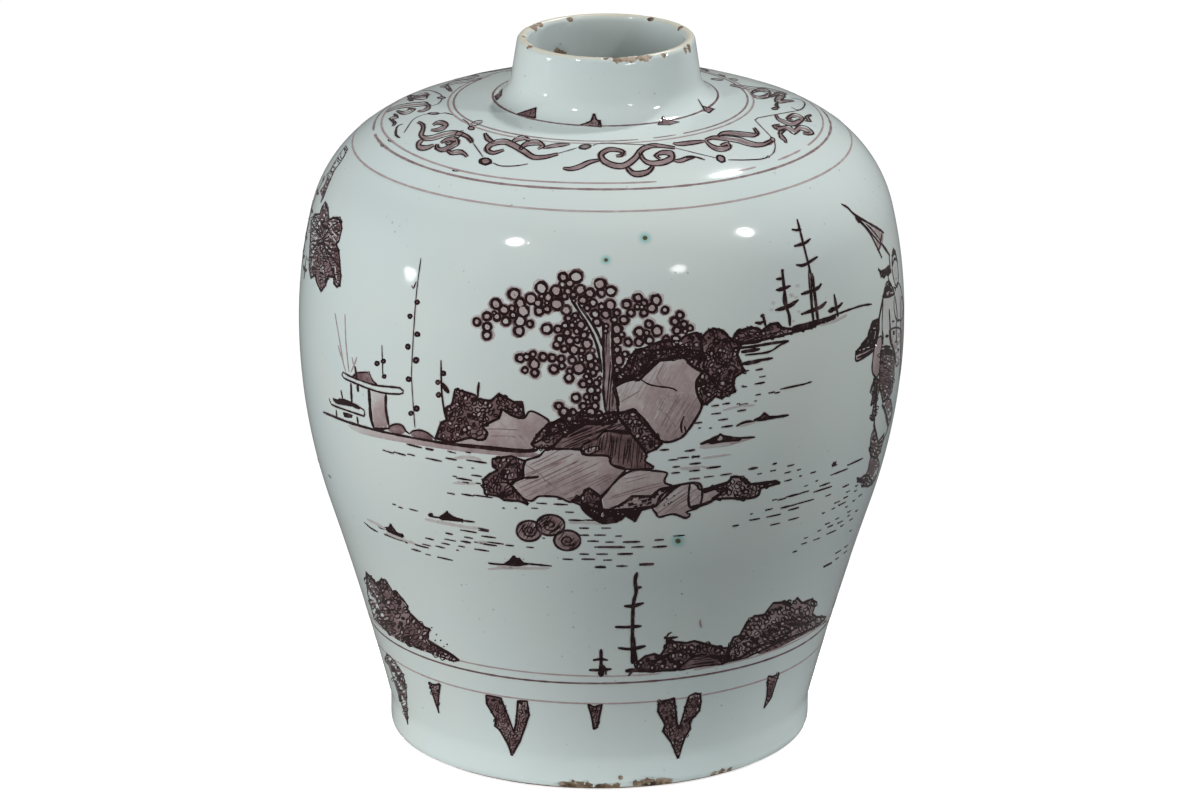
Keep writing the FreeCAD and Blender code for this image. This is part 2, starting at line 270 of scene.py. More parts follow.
def splitBelow(piece, level):
    # finer faces under this level, for the worn foot
    startEdit()
    bpy.ops.mesh.select_all(action="DESELECT")
    endEdit()
    for face in piece.data.polygons:
        face.select = face.center.z < level * mm
    bpy.ops.object.mode_set(mode="EDIT")
    bpy.ops.mesh.subdivide(number_cuts=1)
    endEdit()


def giveCoat(piece, thickness):
    takeUp(piece)
    solid = piece.modifiers.new("coat", "SOLIDIFY")
    solid.thickness = thickness * mm
    solid.offset = -1
    bpy.ops.object.modifier_apply(modifier=solid.name)


def footClayOutline():
    # hollow base, foot ring, and the wall up to the first luted joint
    shape = potShape
    coat = shape["glaze"]
    joint = shape["footJoint"]
    bend = flat(shape["foot"] - coat - shape["footRound"], shape["footRound"])
    outer = shape["flankArc"] + coat
    inner = shape["flankArc"] + shape["wall"] - coat
    points = [flat(shape["footInner"] * step / 4, shape["recess"]) for step in range(4)]
    points += [flat(shape["footInner"], shape["recess"]), flat(shape["footInner"], 0)]
    lowest, widest = bend - flat(0, shape["footRound"]), bend + flat(shape["footRound"], 0)
    points += arcFrom(bend, lowest, widest, potMesh["foot"])
    points += [flat(shape["foot"] - coat, shape["footRound"] + step) for step in range(5)]
    points += [onFlank(outer, level) for level in range(int(shape["footBand"]), int(joint) + 1, 3)]
    bowlReach = shape["flankArc"] + shape["wall"] + shape["floorRound"]
    bowl = onFlank(bowlReach, shape["floor"] + shape["floorRound"])
    bowlEnd = towards(potCentre["flank"], bowl, inner)
    points += [onFlank(inner, joint), bowlEnd]
    floorMiddle = flat(0, shape["floor"] - coat)
    floorEnd = flat(bowl.x, floorMiddle.y)
    points += arcFrom(bowl, bowlEnd, floorEnd, potMesh["bowl"])
    return points + [floorEnd * (1 - step / 6) + floorMiddle * (step / 6) for step in range(7)]


outerGlaze = spunPiece("glaze_outside", outerOutline(potMesh["outside"]), potMesh["round"])
splitBelow(outerGlaze, 6.0)
innerGlaze = spunPiece("glaze_inside", innerOutline(potMesh["inside"]), potMesh["round"], True)
footClay = spunPiece("foot_clay", footClayOutline(), potMesh["round"])
splitBelow(footClay, 5.0)
print("pot spun:", len(outerGlaze.data.polygons), len(innerGlaze.data.polygons), len(footClay.data.polygons))

# The photograph's view: distance and height in mm, field in pixels of a picture 1200 wide
viewCamera = {"distance": 2600, "rise": 17.89, "aim": (0.45, 0.0, 118.02), "height": 119.3, "roll": -0.144}
frameSize = {"width": 1200, "height": 800, "focal": 7465}


def addCamera(view, size):
    data = bpy.data.cameras.new("camera")
    data.sensor_width = 36
    data.lens = size["focal"] * data.sensor_width / size["width"]
    data.clip_end = 50
    camera = placed("camera", data)
    rise = math.radians(view["rise"])
    place = Vector((0, -math.cos(rise), math.sin(rise))) * view["distance"] + Vector((0, 0, view["height"]))
    turn = (Vector(view["aim"]) - place).to_track_quat("-Z", "Y").to_matrix().to_4x4()
    roll = Matrix.Rotation(math.radians(view["roll"]), 4, "Z")
    camera.matrix_world = Matrix.Translation(place * mm) @ turn @ roll
    bpy.context.scene.camera = camera
    bpy.context.view_layer.update()
    return camera


camera = addCamera(viewCamera, frameSize)


def pixelRay(x, y):
    # from the camera through this point of the photograph
    across, up = x - frameSize["width"] / 2, frameSize["height"] / 2 - y
    look = camera.matrix_world.to_3x3() @ Vector((across, up, -frameSize["focal"]))
    return camera.matrix_world.translation, look.normalized()


def pixelSpot(x, y):
    # place in mm where the photograph's pixel first meets the glaze, outside or inside
    start, way = pixelRay(x, y)
    casts = [coat.ray_cast(start, way) for coat in (outerGlaze, innerGlaze)]
    places = [cast[1] / mm for cast in casts if cast[0]]
    if not places:
        raise ValueError(f"pixel {x}, {y} misses the pot")
    return min(places, key=lambda place: (place - start / mm).length)


# Glaze lost at the foot and the rim: pixel, reach in mm and, at the foot, depth
footDrop = 1.8  # how far below its pixel the middle of a foot loss lies
footLosses = [
    (563, 781, 2.2, 0.8), (571, 782, 2.9, 1.0), (579, 782, 2.7, 1.1), (588, 782, 2.3, 1.0),
    (600, 783, 1.7, 1.0), (608, 783, 2.0, 1.0), (617, 782, 1.7, 0.8), (637, 780, 2.3, 0.9),
    (645, 780, 2.9, 0.9), (653, 779, 2.5, 0.9), (661, 778, 2.6, 0.9), (669, 777, 2.0, 0.8),
    (715, 770, 1.6, 0.6), (723, 768, 2.0, 0.6), (731, 766, 1.8, 0.6), (436, 758, 1.6, 0.4),
    (621, 773, 1.4, 0.4),
]
rimLosses = [
    (534, 26, 3.2), (540, 24, 2.2), (524, 36, 2.0), (530, 46, 2.6), (557, 53, 2.6), (563, 54, 1.8),
    (570, 19, 1.8), (606, 58, 1.6), (617, 58, 2.4), (624, 58, 2.8), (631, 58, 2.4), (641, 57, 2.6),
    (648, 57, 2.2), (664, 55, 1.6), (690, 48, 2.4), (686, 50, 1.8), (680, 27, 2.0), (650, 19, 1.6),
]
rimDeep = 0.35
# The same behind: how many, where they start and how far they run round in degrees
backLosses = {
    "foot": {"count": 14, "from": -20, "run": 220, "levels": (0.4, 1.8), "reach": (1.2, 3.2)},
    "rim": {"count": 9, "from": 10, "run": 160, "level": potShape["rim"] - 0.6, "reach": (0.8, 2.2)},
}
backPlace = {"foot": (potShape["foot"], 0.7), "rim": (30.2, 0.3)}  # radius and depth
backSeed = 5


def roundSpot(angle, level, radius):
    return settled((radius * math.cos(angle), radius * math.sin(angle), level))


def allLosses():
    losses = []
    for x, y, reach, depth in footLosses:
        losses.append((pixelSpot(x, y) - Vector((0, 0, footDrop)), reach, depth))
    for x, y, reach in rimLosses:
        losses.append((pixelSpot(x, y), reach, rimDeep))
    picker = random.Random(backSeed)
    for name, row in backLosses.items():
        radius, deep = backPlace[name]
        for step in range(row["count"]):
            angle = math.radians(row["from"] + row["run"] * (step + picker.random()) / row["count"])
            level = row.get("level") or picker.uniform(*row["levels"])
            losses.append((roundSpot(angle, level, radius), picker.uniform(*row["reach"]), deep))
    return losses


def wearAway(piece, losses, sunk=0.0):
    # press the worn places in, and mark them as bare in an attribute
    bare = piece.data.attributes.new("bare", "FLOAT", "POINT")
    normals = [vertex.normal.copy() for vertex in piece.data.vertices]
    for vertex, normal in zip(piece.data.vertices, normals):
        place = vertex.co / mm
        worn, push = 0.0, 0.0
        for centre, reach, depth in losses:
            gap = (place - centre).length
            if gap > reach * 1.4:
                continue
            share = 1 - gap / reach + 0.35 * noise.noise(place * 0.6) + 0.2 * noise.noise(place * 1.7)
            worn = max(worn, share)
            push = max(push, (depth + sunk) * eased(0.05, 0.5, share))
        bare.data[vertex.index].value = min(max(worn, 0), 1)
        if push:
            vertex.co -= normal * push * mm
    piece.data.update()


potLosses = allLosses()
for coat in (outerGlaze, innerGlaze):
    wearAway(coat, potLosses)
    giveCoat(coat, potShape["glaze"])
wearAway(footClay, potLosses, 0.7)
print("foot and rim worn:", len(potLosses), "places")


def clayCopy(name, node):
    # the frame's clay piece, settled as the glaze is
    piece = placed(name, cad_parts[node].data.copy())
    takeUp(piece)
    piece.data.materials.clear()
    startEdit()
    bpy.ops.mesh.remove_doubles(threshold=mm * 0.001)
    endEdit()
    for vertex in piece.data.vertices:
        vertex.co = settled(vertex.co / mm) * mm
    piece.data.update()
    return piece


pieceSlots = {}  # the material slot of each piece


def entrust(piece, slot, *nodes):
    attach(piece, "root")
    if nodes:
        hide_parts(*nodes)
    pieceSlots[piece.name] = slot


def smoothed(piece, angle):
    takeUp(piece)
    bpy.ops.object.shade_smooth_by_angle(angle=math.radians(angle))


hiddenClay = {"lower_wall": "lower_body", "upper_wall": "upper_body", "neck_wall": "neck"}
hiddenSlip = {"foot_lute": "foot_slip", "waist_lute": "waist_slip", "neck_lute": "neck_slip"}
for name, node in {**hiddenClay, **hiddenSlip}.items():
    piece = clayCopy(name, node)
    smoothed(piece, 30)
    entrust(piece, "slip" if name in hiddenSlip else "biscuit", node)
for piece, slot, node in (
    (outerGlaze, "tin_glaze", "outer_glaze"),
    (innerGlaze, "tin_glaze", "inner_glaze"),
    (footClay, "biscuit", "foot_and_floor"),
):
    smoothed(piece, 40)
    entrust(piece, slot, node)
print("clay and glaze in place")

# The painting: strokes and washes laid over the glaze as thin closed relief, in mm
brush = {
    "sunk": 0.05, "halo": 0.02, "wash": 0.038, "hatch": 0.06, "line": 0.075, "accent": 0.09,
    "haloWide": 0.7, "load": 1.3,
}
brushStep = 2.6  # pixels between the sections of a stroke
washStep = 6.0  # pixels between the inner points of a wash
surfaceStep = 2.4  # the same on the pot, at most, in mm
inks = {
    "ink": 1.0, "dark": 0.9, "mid": 0.52, "soft": 0.40, "faint": 0.26, "pale": 0.22, "light": 0.14,
    "robe": 0.08, "halo": 0.07,
}
# Lines by the load of the brush; width in mm
pens = {
    "hair": {"width": 0.32}, "fine": {"width": 0.42}, "plain": {"width": 0.56}, "firm": {"width": 0.73},
    "bold": {"width": 0.97}, "heavy": {"width": 1.4}, "broad": {"width": 1.95},
    "sketch": {"width": 0.3, "ink": "soft"}, "trace": {"width": 0.5, "ink": "faint", "halo": False},
    "pink": {"width": 0.9, "ink": "light", "halo": False},
    "slimPink": {"width": 0.62, "ink": "light", "halo": False},
}
chance = random.Random(41)


class Canvas:
    # where a pixel of the photograph lies on the pot, also round the pot and mirrored
    def __init__(self, turn=0.0, mirror=False, shift=(0, 0)):
        self.spin = Matrix.Rotation(math.radians(turn), 3, "Z")
        self.mirror = mirror
        self.shift = shift

    def spot(self, x, y):
        x, y = x + self.shift[0], y + self.shift[1]
        if self.mirror:
            x = frameSize["width"] - x
        start, way = pixelRay(x, y)
        hit, place, normal = outerGlaze.ray_cast(self.spin @ start, self.spin @ way)[:3]
        return (place / mm, normal) if hit else None


class Sheet:
    # one mesh of paint: corners in mm, faces, and how dark each corner is
    def __init__(self, name):
        self.name = name
        self.corners = []
        self.faces = []
        self.inks = []

    def put(self, corners, faces, shades):
        start = len(self.corners)
        self.corners += corners
        self.faces += [[start + index for index in face] for face in faces]
        self.inks += shades

    def lay(self, slot="purple_paint"):
        mesh = bpy.data.meshes.new(self.name)
        mesh.from_pydata([corner * mm for corner in self.corners], [], self.faces)
        ink = mesh.attributes.new("ink", "FLOAT", "POINT")
        for entry, value in zip(ink.data, self.inks):
            entry.value = value
        piece = placed(self.name, mesh)
        smoothed(piece, 35)
        entrust(piece, slot)
        return piece


def curved(points, gap, closed=False):
    # smooth run through the points, in steps of about gap
    points = [Vector(point) for point in points]
    if closed:
        run = [points[-1]] + points + points[:2]
    else:
        run = [points[0] * 2 - points[1]] + points + [points[-1] * 2 - points[-2]]
    path = []
    for before, start, end, after in zip(run, run[1:], run[2:], run[3:]):
        count = max(1, round((end - start).length / gap))
        for step in range(count):
            t = step / count
            bend = (end - before) * t + (before * 2 - start * 5 + end * 4 - after) * t**2
            path.append(start + (bend + (start * 3 - before - end * 3 + after) * t**3) * 0.5)
    return path if closed else path + [points[-1]]


def blotch(place, size, strength):
    return strength * noise.noise(place / size)


def unbroken(spots, closed):
    # runs of spots on the pot, cut where the path leaves it or jumps
    if closed and all(spots):
        return [spots + spots[:1]]
    runs, run = [], []
    for spot in spots:
        if spot is None or (run and (spot[0] - run[-1][0]).length > 9):
            runs.append(run)
            run = []
        if spot:
            run.append(spot)
    return [run for run in runs + [run] if len(run) > 1]


def layStrip(sheet, run, width, lift, ink, blunt=0.5):
    # closed strip along one run, pinched at its ends
    corners, shades = [], []
    count = len(run)
    high = lift + 0.002 * (len(sheet.faces) % 5)
    for index, (place, normal) in enumerate(run):
        along = run[min(index + 1, count - 1)][0] - run[max(index - 1, 0)][0]
        side = normal.cross(along).normalized()
        pinch = min(1, blunt + (1 - blunt) * min(index, count - 1 - index) / 1.5)
        reach = side * width / 2 * pinch * (1 + blotch(place, 2.3, 0.35))
        top, low = normal * high, normal * -brush["sunk"]
        corners += [place + reach + top, place - reach + top, place - reach + low, place + reach + low]
        shades += [min(max(ink * (1 + blotch(place, 3.1, 0.3)), 0), 1)] * 4
    faces = [[0, 3, 2, 1], [4 * count - 4, 4 * count - 3, 4 * count - 2, 4 * count - 1]]
    for row in range(0, 4 * count - 4, 4):
        for edge in range(4):
            near, far = row + edge, row + (edge + 1) % 4
            faces.append([near, far, far + 4, near + 4])
    sheet.put(corners, faces, shades)


def refined(canvas, path, closed=False):
    # more points where the pot turns away and a pixel spans more of it
    fine = []
    places = [canvas.spot(point.x, point.y) for point in path]
    for index in range(len(path) if closed else len(path) - 1):
        after = (index + 1) % len(path)
        count = 1
        if places[index] and places[after]:
            span = (places[after][0] - places[index][0]).length
            count = min(max(math.ceil(span / surfaceStep), 1), 12)
        fine += [path[index].lerp(path[after], step / count) for step in range(count)]
    return fine if closed else fine + path[-1:]


def drawLine(canvas, sheet, points, width=0.6, ink="dark", closed=False, halo=True, lift="line"):
    path = refined(canvas, curved(points, brushStep, closed), closed)
    width *= brush["load"] if lift == "line" else 1
    spots = [canvas.spot(point.x, point.y) for point in path]
    for run in unbroken(spots, closed):
        if halo:
            layStrip(sheet, run, width + brush["haloWide"], brush["halo"], inks["halo"], 0.8)
        layStrip(sheet, run, width, brush[lift], inks[ink])


def ovalSpot(centre, angle, wide, tall, turn):
    # a point on a tilted oval, in pixels
    across, up = math.cos(angle) * wide, math.sin(angle) * tall
    x = centre[0] + across * math.cos(turn) - up * math.sin(turn)
    return x, centre[1] + across * math.sin(turn) + up * math.cos(turn)


def layFan(canvas, sheet, centre, reach, ink, lift, count=11, squash=1.0, tilt=0.0, wobble=0.1):
    # small closed disc, reach in pixels
    middle = canvas.spot(*centre)
    ring = []
    for step in range(count):
        angle = math.tau * step / count
        wide = reach * (1 + chance.uniform(-wobble, wobble))
        ring.append(canvas.spot(*ovalSpot(centre, angle, wide, wide * squash, math.radians(tilt))))
    if middle is None or not all(ring):
        return
    if (ring[0][0] - middle[0]).cross(ring[1][0] - middle[0]).dot(middle[1]) < 0:
        ring.reverse()
    high = brush[lift] + 0.002 * (len(sheet.faces) % 5)
    corners = [place + normal * high for place, normal in [middle] + ring]
    corners += [place - normal * brush["sunk"] for place, normal in [middle] + ring]
    faces = []
    for step in range(count):
        near, far = 1 + step, 1 + (step + 1) % count
        faces += [[0, near, far], [count + 1, count + 1 + far, count + 1 + near]]
        faces.append([near, count + 1 + near, count + 1 + far, far])
    sheet.put(corners, faces, [min(1, inks[ink] * (1 + blotch(middle[0], 2.0, 0.3)))] * len(corners))


def insideOutline(point, outline):
    inside = False
    for start, end in zip(outline, outline[1:] + outline[:1]):
        if (start.y > point.y) != (end.y > point.y):
            if point.x < start.x + (end.x - start.x) * (point.y - start.y) / (end.y - start.y):
                inside = not inside
    return inside


def scattered(outline, gap, loose=0.3):
    # points inside the outline on a loose grid
    low = Vector((min(point.x for point in outline), min(point.y for point in outline)))
    high = Vector((max(point.x for point in outline), max(point.y for point in outline)))
    found = []
    for row in range(math.ceil((high.y - low.y) / (gap * 0.87)) + 1):
        for column in range(math.ceil((high.x - low.x) / gap) + 1):
            point = low + Vector(((column + row % 2 * 0.5) * gap, row * gap * 0.87))
            point += Vector((chance.uniform(-loose, loose), chance.uniform(-loose, loose))) * gap
            if insideOutline(point, outline):
                found.append(point)
    return found


def layWash(canvas, sheet, outline, ink, lift="wash"):
    # closed patch that follows the glaze
    before = len(outline)
    outline = refined(canvas, outline, True)
    gap = max(washStep * before / len(outline), 1.5)
    points = outline + scattered(outline, gap, 0.05)
    border = [list(range(len(outline)))]
    cut = geometry.delaunay_2d_cdt(points, [], border, 1, 0.01)
    flatPoints, triangles = cut[0], cut[2]
    spots = [canvas.spot(point.x, point.y) for point in flatPoints]
    faces = []
    for triangle in triangles:
        if any(spots[index] is None for index in triangle):
            continue
        places = [spots[index][0] for index in triangle]
        if max((places[1] - places[0]).length, (places[2] - places[0]).length) > 25:
            continue
        upright = (places[1] - places[0]).cross(places[2] - places[0]).dot(spots[triangle[0]][1]) > 0
        faces.append(list(triangle) if upright else list(reversed(triangle)))
    used = sorted({index for face in faces for index in face})
    slotOf = {index: place for place, index in enumerate(used)}
    count = len(used)
    sides = {(face[step], face[(step + 1) % 3]) for face in faces for step in range(3)}
    rims = [(start, end) for start, end in sides if (end, start) not in sides]
    corners = [spots[index][0] + spots[index][1] * brush[lift] for index in used]
    corners += [spots[index][0] - spots[index][1] * brush["sunk"] for index in used]
    solid = [[slotOf[index] for index in face] for face in faces]
    solid += [[slotOf[index] + count for index in reversed(face)] for face in faces]
    solid += [[slotOf[end], slotOf[start], slotOf[start] + count, slotOf[end] + count] for start, end in rims]
    reaches = [[point[axis] for point in outline] for axis in (0, 1)]
    spans = [(min(reach), max(reach)) for reach in reaches]
    shades = []
    for place, index in enumerate(used + used):
        # darker to the right and below, as the brush was loaded
        shares = [(flatPoints[index][axis] - low) / (high - low) for axis, (low, high) in enumerate(spans)]
        level = inks[ink] * (0.36 + 0.7 * sum(shares) if ink in ("pale", "faint") else 1)
        grain = 1 + blotch(corners[place], 6.0, 0.4) + blotch(corners[place], 2.0, 0.3)
        shades.append(min(level * grain, 1))
    sheet.put(corners, solid, shades)


def drawHatch(canvas, sheet, outline, angle, gap, ink):
    # brushed lines across the patch
    turn = Matrix.Rotation(math.radians(angle), 2)
    leant = [turn @ point for point in outline]
    level = min(point.y for point in leant) + gap * 0.7
    highest = max(point.y for point in leant)
    while level < highest:
        crossings = []
        for start, end in zip(leant, leant[1:] + leant[:1]):
            if (start.y > level) != (end.y > level):
                crossings.append(start.x + (end.x - start.x) * (level - start.y) / (end.y - start.y))
        crossings.sort()
        for first, last in zip(crossings[::2], crossings[1::2]):
            span = last - first
            if span > 3 and chance.random() < 0.85:
                start = first + span * chance.uniform(0, 0.3)
                end = last - span * chance.uniform(0, 0.3)
                alongs = (start, (start + end) / 2, end)
                swayed = [Vector((along, level + chance.uniform(-0.9, 0.9))) for along in alongs]
                points = [turn.transposed() @ point for point in swayed]
                drawLine(canvas, sheet, points, chance.uniform(0.22, 0.55), ink, halo=False, lift="hatch")
        level += gap * chance.uniform(0.6, 1.6)


def looseForm():
    # squash and tilt of one touch of the brush
    return chance.uniform(0.6, 1), chance.uniform(0, 180)


def drawNet(canvas, sheet, outline, gap, ink="dark", filled=0.15, pen=(0.32, 0.5)):
    # small dark loops side by side, with pale middles left open; pen widths in mm
    for point in scattered(outline, gap, 0.3):
        reach = gap * chance.uniform(0.38, 0.56)
        if ink == "ink" and chance.random() < 0.35:
            layFan(canvas, sheet, point, reach * 0.55, "pale", "hatch", 7, *looseForm(), 0.2)
        if chance.random() < filled:
            layFan(canvas, sheet, point, reach, ink, "hatch", 8, *looseForm(), 0.25)
            continue
        lean, squash = chance.uniform(0, math.tau), chance.uniform(0.5, 0.95)
        angles = [math.tau * step / 6 for step in range(6)]
        loop = [ovalSpot(point, angle, reach * 1.15, reach * squash, lean) for angle in angles]
        spots = [canvas.spot(*corner) for corner in loop]
        for run in unbroken(spots, True):
            layStrip(sheet, run, chance.uniform(*pen), brush["line"], inks[ink])


def drawPatch(canvas, sheet, outline, tone="pale", edge=0.0, hatch=None, net=0.0):
    # a wash with what is drawn on it and round it
    path = curved(outline, brushStep * 1.4, True)
    layWash(canvas, sheet, path, tone)
    if hatch:
        drawHatch(canvas, sheet, path, *hatch)
    if net:
        drawNet(canvas, sheet, path, net)
    if edge:
        drawLine(canvas, sheet, outline, edge, "ink", True)


# Leafy masses by their tone: the wash, and the share of its loops that are filled in
foliage = {"mid": ("soft", 0.12), "dark": ("mid", 0.2), "ink": ("ink", None)}
foliagePen = {"gap": 5.8, "widths": (0.45, 0.8), "edge": 0.7, "speckGap": 6.5, "speckShare": 0.3}


def drawScribble(canvas, sheet, outline, tone):
    # open loops on a wash; black, with a few pale specks, where tone is ink
    base, filled = foliage[tone]
    path = curved(outline, brushStep * 1.4, True)
    layWash(canvas, sheet, path, base)
    if filled is None:
        for point in scattered(path, foliagePen["speckGap"], 0.4)[9:]:
            if chance.random() < foliagePen["speckShare"]:
                reach, tilt = chance.uniform(0.6, 1.1), chance.uniform(0, 180)
                layFan(canvas, sheet, point, reach, "soft", "accent", 7, 0.7, tilt)
    else:
        drawNet(canvas, sheet, path, foliagePen["gap"], "ink", filled, foliagePen["widths"])
    drawLine(canvas, sheet, outline, foliagePen["edge"], "ink", True)


ribbonPen = {"fill": 0.42, "edge": 0.55, "ends": 0.12}


def drawRibbon(canvas, sheet, points, width):
    # scroll band: pink fill between two dark edges, width in pixels
    path = curved(points, brushStep)
    spots = [canvas.spot(point.x, point.y) for point in path]
    for run in unbroken(spots, False):
        layStrip(sheet, run, width * ribbonPen["fill"], brush["wash"], inks["soft"], 0.7)
    for side in (-1, 1):
        edge = []
        for index, point in enumerate(path):
            along = (path[min(index + 1, len(path) - 1)] - path[max(index - 1, 0)]).normalized()
            share = index / max(len(path) - 1, 1)
            swell = math.sin(math.pi * (ribbonPen["ends"] + (1 - 2 * ribbonPen["ends"]) * share))
            edge.append(point + Vector((-along.y, along.x)) * side * width / 2 * swell)
        drawLine(canvas, sheet, edge[::2] + edge[-1:], ribbonPen["edge"], "dark", halo=side > 0)


# Round leaves of the tree, in pixels: shades of the middle, and what is laid past each leaf
bubble = {"rim": 1.0, "heart": 1.9, "shades": ("pale", "pale", "faint", "light"), "dabs": (0, 1, 2, 2)}
treeWash = {"halo": 3.4, "wash": 1.7}


def drawBubble(canvas, sheet, x, y, reach):
    # one round leaf: dark rim, pale middle, a few dabs
    rim, heart = reach + bubble["rim"], max(reach - bubble["heart"], reach * 0.5)
    layFan(canvas, sheet, (x, y), rim, "ink", "hatch", 12, 0.95, chance.uniform(0, 90), 0.1)
    off = Vector((x + chance.uniform(-0.35, 0.35), y + chance.uniform(-0.35, 0.35)))
    shade = chance.choice(bubble["shades"])
    layFan(canvas, sheet, off, heart, shade, "line", 11, 0.9, chance.uniform(0, 90), 0.16)
    for dab in range(chance.choice(bubble["dabs"]) if reach > 3 else 0):
        angle, out = chance.uniform(0, math.tau), reach * chance.uniform(0.1, 0.5)
        spot = (off.x + math.cos(angle) * out, off.y + math.sin(angle) * out)
        size, tilt = chance.uniform(0.45, 0.8), chance.uniform(0, 180)
        layFan(canvas, sheet, spot, size, "mid", "accent", 6, 0.7, tilt, 0.2)


def drawStone(canvas, sheet, x, y, wide, tall):
    # round stone: hatched, with a curl inside
    angles = [math.tau * step / 12 for step in range(12)]
    ring = [(x + math.cos(angle) * wide, y + math.sin(angle) * tall) for angle in angles]
    path = curved(ring, brushStep, True)
    layWash(canvas, sheet, path, "soft")
    drawHatch(canvas, sheet, path, chance.uniform(40, 80), 1.9, "dark")
    curl = []
    for step in range(14):
        angle, share = 0.75 * step, 0.62 - 0.04 * step
        curl.append((x + math.cos(angle) * wide * share, y + math.sin(angle) * tall * share))
    drawLine(canvas, sheet, curl, 0.5, "dark", halo=False)
    drawLine(canvas, sheet, ring, 0.65, "dark", True)


# Touches of the brush, layer by layer: share of the reach, ink, lift, corners, squash, tilt, wobble
dabs = {
    "dot": [(1, "dark", "line", 9), (0.25, "mid", "accent", 7)],
    "mark": [(1, "dark", "line", 8, 0.8, -40)],
    "bud": [(1, "dark", "line", 12), (0.55, "soft", "accent", 9)],
    "smudge": [(1, "halo", "wash", 10, 0.8, 20, 0.3), (0.45, "light", "hatch", 9, 0.7, 50, 0.3)],
}


def drawDab(canvas, sheet, kind, x, y, reach, *form):
    for share, *look in dabs[kind]:
        layFan(canvas, sheet, (x, y), reach * share, *look, *form)


def cornered(points):
    # each point twice, so that the curve keeps its corners
    return [point for point in points for twice in range(2)]


def drawPath(canvas, sheet, kind, settings, points):
    # one stroke or patch of a motif
    if kind == "line":
        drawLine(canvas, sheet, points, **pens[settings])
    elif kind == "dash":
        drawLine(canvas, sheet, points, chance.uniform(0.45, 0.62), "dark")
        layFan(canvas, sheet, points[0], chance.uniform(0.7, 1.0), "ink", "accent", 7, 0.8)
    elif kind == "bar":
        drawLine(canvas, sheet, points, settings)
        layFan(canvas, sheet, points[0], 1.35, "ink", "accent", 8, 0.85)
        layFan(canvas, sheet, points[-1], 1.0, "ink", "accent", 8, 0.85)
    elif kind == "wash":
        drawPatch(canvas, sheet, points, **settings)
    elif kind == "scribble":
        drawScribble(canvas, sheet, cornered(points), settings)
    elif kind == "patchy":
        drawPatch(canvas, sheet, cornered(points), net=4.8, **settings)
    elif kind == "tooth":
        drawPatch(canvas, sheet, cornered(points), "mid", 0.5, (70, 2.2, "dark"))
    elif kind == "ribbon":
        drawRibbon(canvas, sheet, points, settings)


def paired(path):
    return list(zip(path[::2], path[1::2]))


def drawStroke(canvas, sheet, kind, settings, path):
    # a dab is its pixel, reach and form; any other path is x and y in turn
    if kind in dabs:
        drawDab(canvas, sheet, kind, *path)
    elif kind == "stone":
        drawStone(canvas, sheet, *path)
    else:
        drawPath(canvas, sheet, kind, settings, paired(path))


def drawStrokes(canvas, sheet, strokes):
    for kind, settings, paths in strokes:
        for path in paths:
            drawStroke(canvas, sheet, kind, settings, path)


def drawMotif(name, strokes, canvas):
    sheet = Sheet(name)
    drawStrokes(canvas, sheet, strokes)
    sheet.lay()


# The motifs, in pixels of the photograph: kind, its pen or settings, and the paths of its strokes
altarStrokes = [
    ("line", "plain", [[343, 372, 342, 375, 344, 378, 367, 388, 384, 393, 400, 394, 403, 393, 400, 388,
      375, 385, 352, 377, 343, 372], [369, 371, 371, 377, 374, 382, 379, 386], [329, 398, 331, 403, 335, 406,
      364, 416, 365, 414, 361, 408, 337, 403], [387, 429, 392, 425, 398, 424, 403, 426, 406, 431, 410, 434],
      [410, 433, 413, 431, 419, 430, 426, 432, 432, 436, 436, 440]]),
    ("line", "bold", [[351, 383, 352, 405], [386, 394, 386, 409, 389, 426], [355, 366, 356, 372, 357, 378],
      [352.5, 376.7, 354.6, 374.8, 357.3, 377.4], [336.5, 410, 336.8, 418.4], [357.2, 416.5, 358.3, 424.5]]),
    ("line", "heavy", [[357.7, 383.5, 358.1, 392], [369, 389, 371, 417, 374, 428], [333, 399, 338, 402,
      344, 401, 360, 408]]),
    ("wash", {"tone": "pale"}, [[372, 392, 384, 395, 387, 427, 375, 428, 373, 415], [351, 424, 406, 437,
      435, 442, 481, 448, 533, 452, 537, 456, 519, 457, 458, 451, 389, 440, 357, 432]]),
    ("line", "firm", [[374, 428, 381, 429, 390, 428], [341, 390, 342, 395, 343, 401], [323, 412, 351, 423,
      389, 433, 450, 444, 511, 451, 533, 451, 539, 447]]),
    ("wash", {"tone": "mid"}, [[353, 377, 356, 372, 368, 372, 371, 378, 378, 385, 366, 382, 358, 379],
      [387, 429, 392, 425, 398, 424, 403, 426, 406, 431, 403, 434, 393, 433], [410, 434, 413, 431, 419, 430,
      426, 432, 432, 436, 433, 440, 418, 438]]),
    ("line", "fine", [[357, 373, 366, 372, 369, 372]]),
    ("line", "trace", [[338, 345, 346, 372], [345, 314, 346, 342, 349, 372], [335, 313, 344, 366], [352, 357,
      354, 366], [357, 357, 355, 363, 351, 372]]),
    ("wash", {"tone": "dark"}, [[343, 412, 353, 415, 352, 418, 344, 417]]),
]
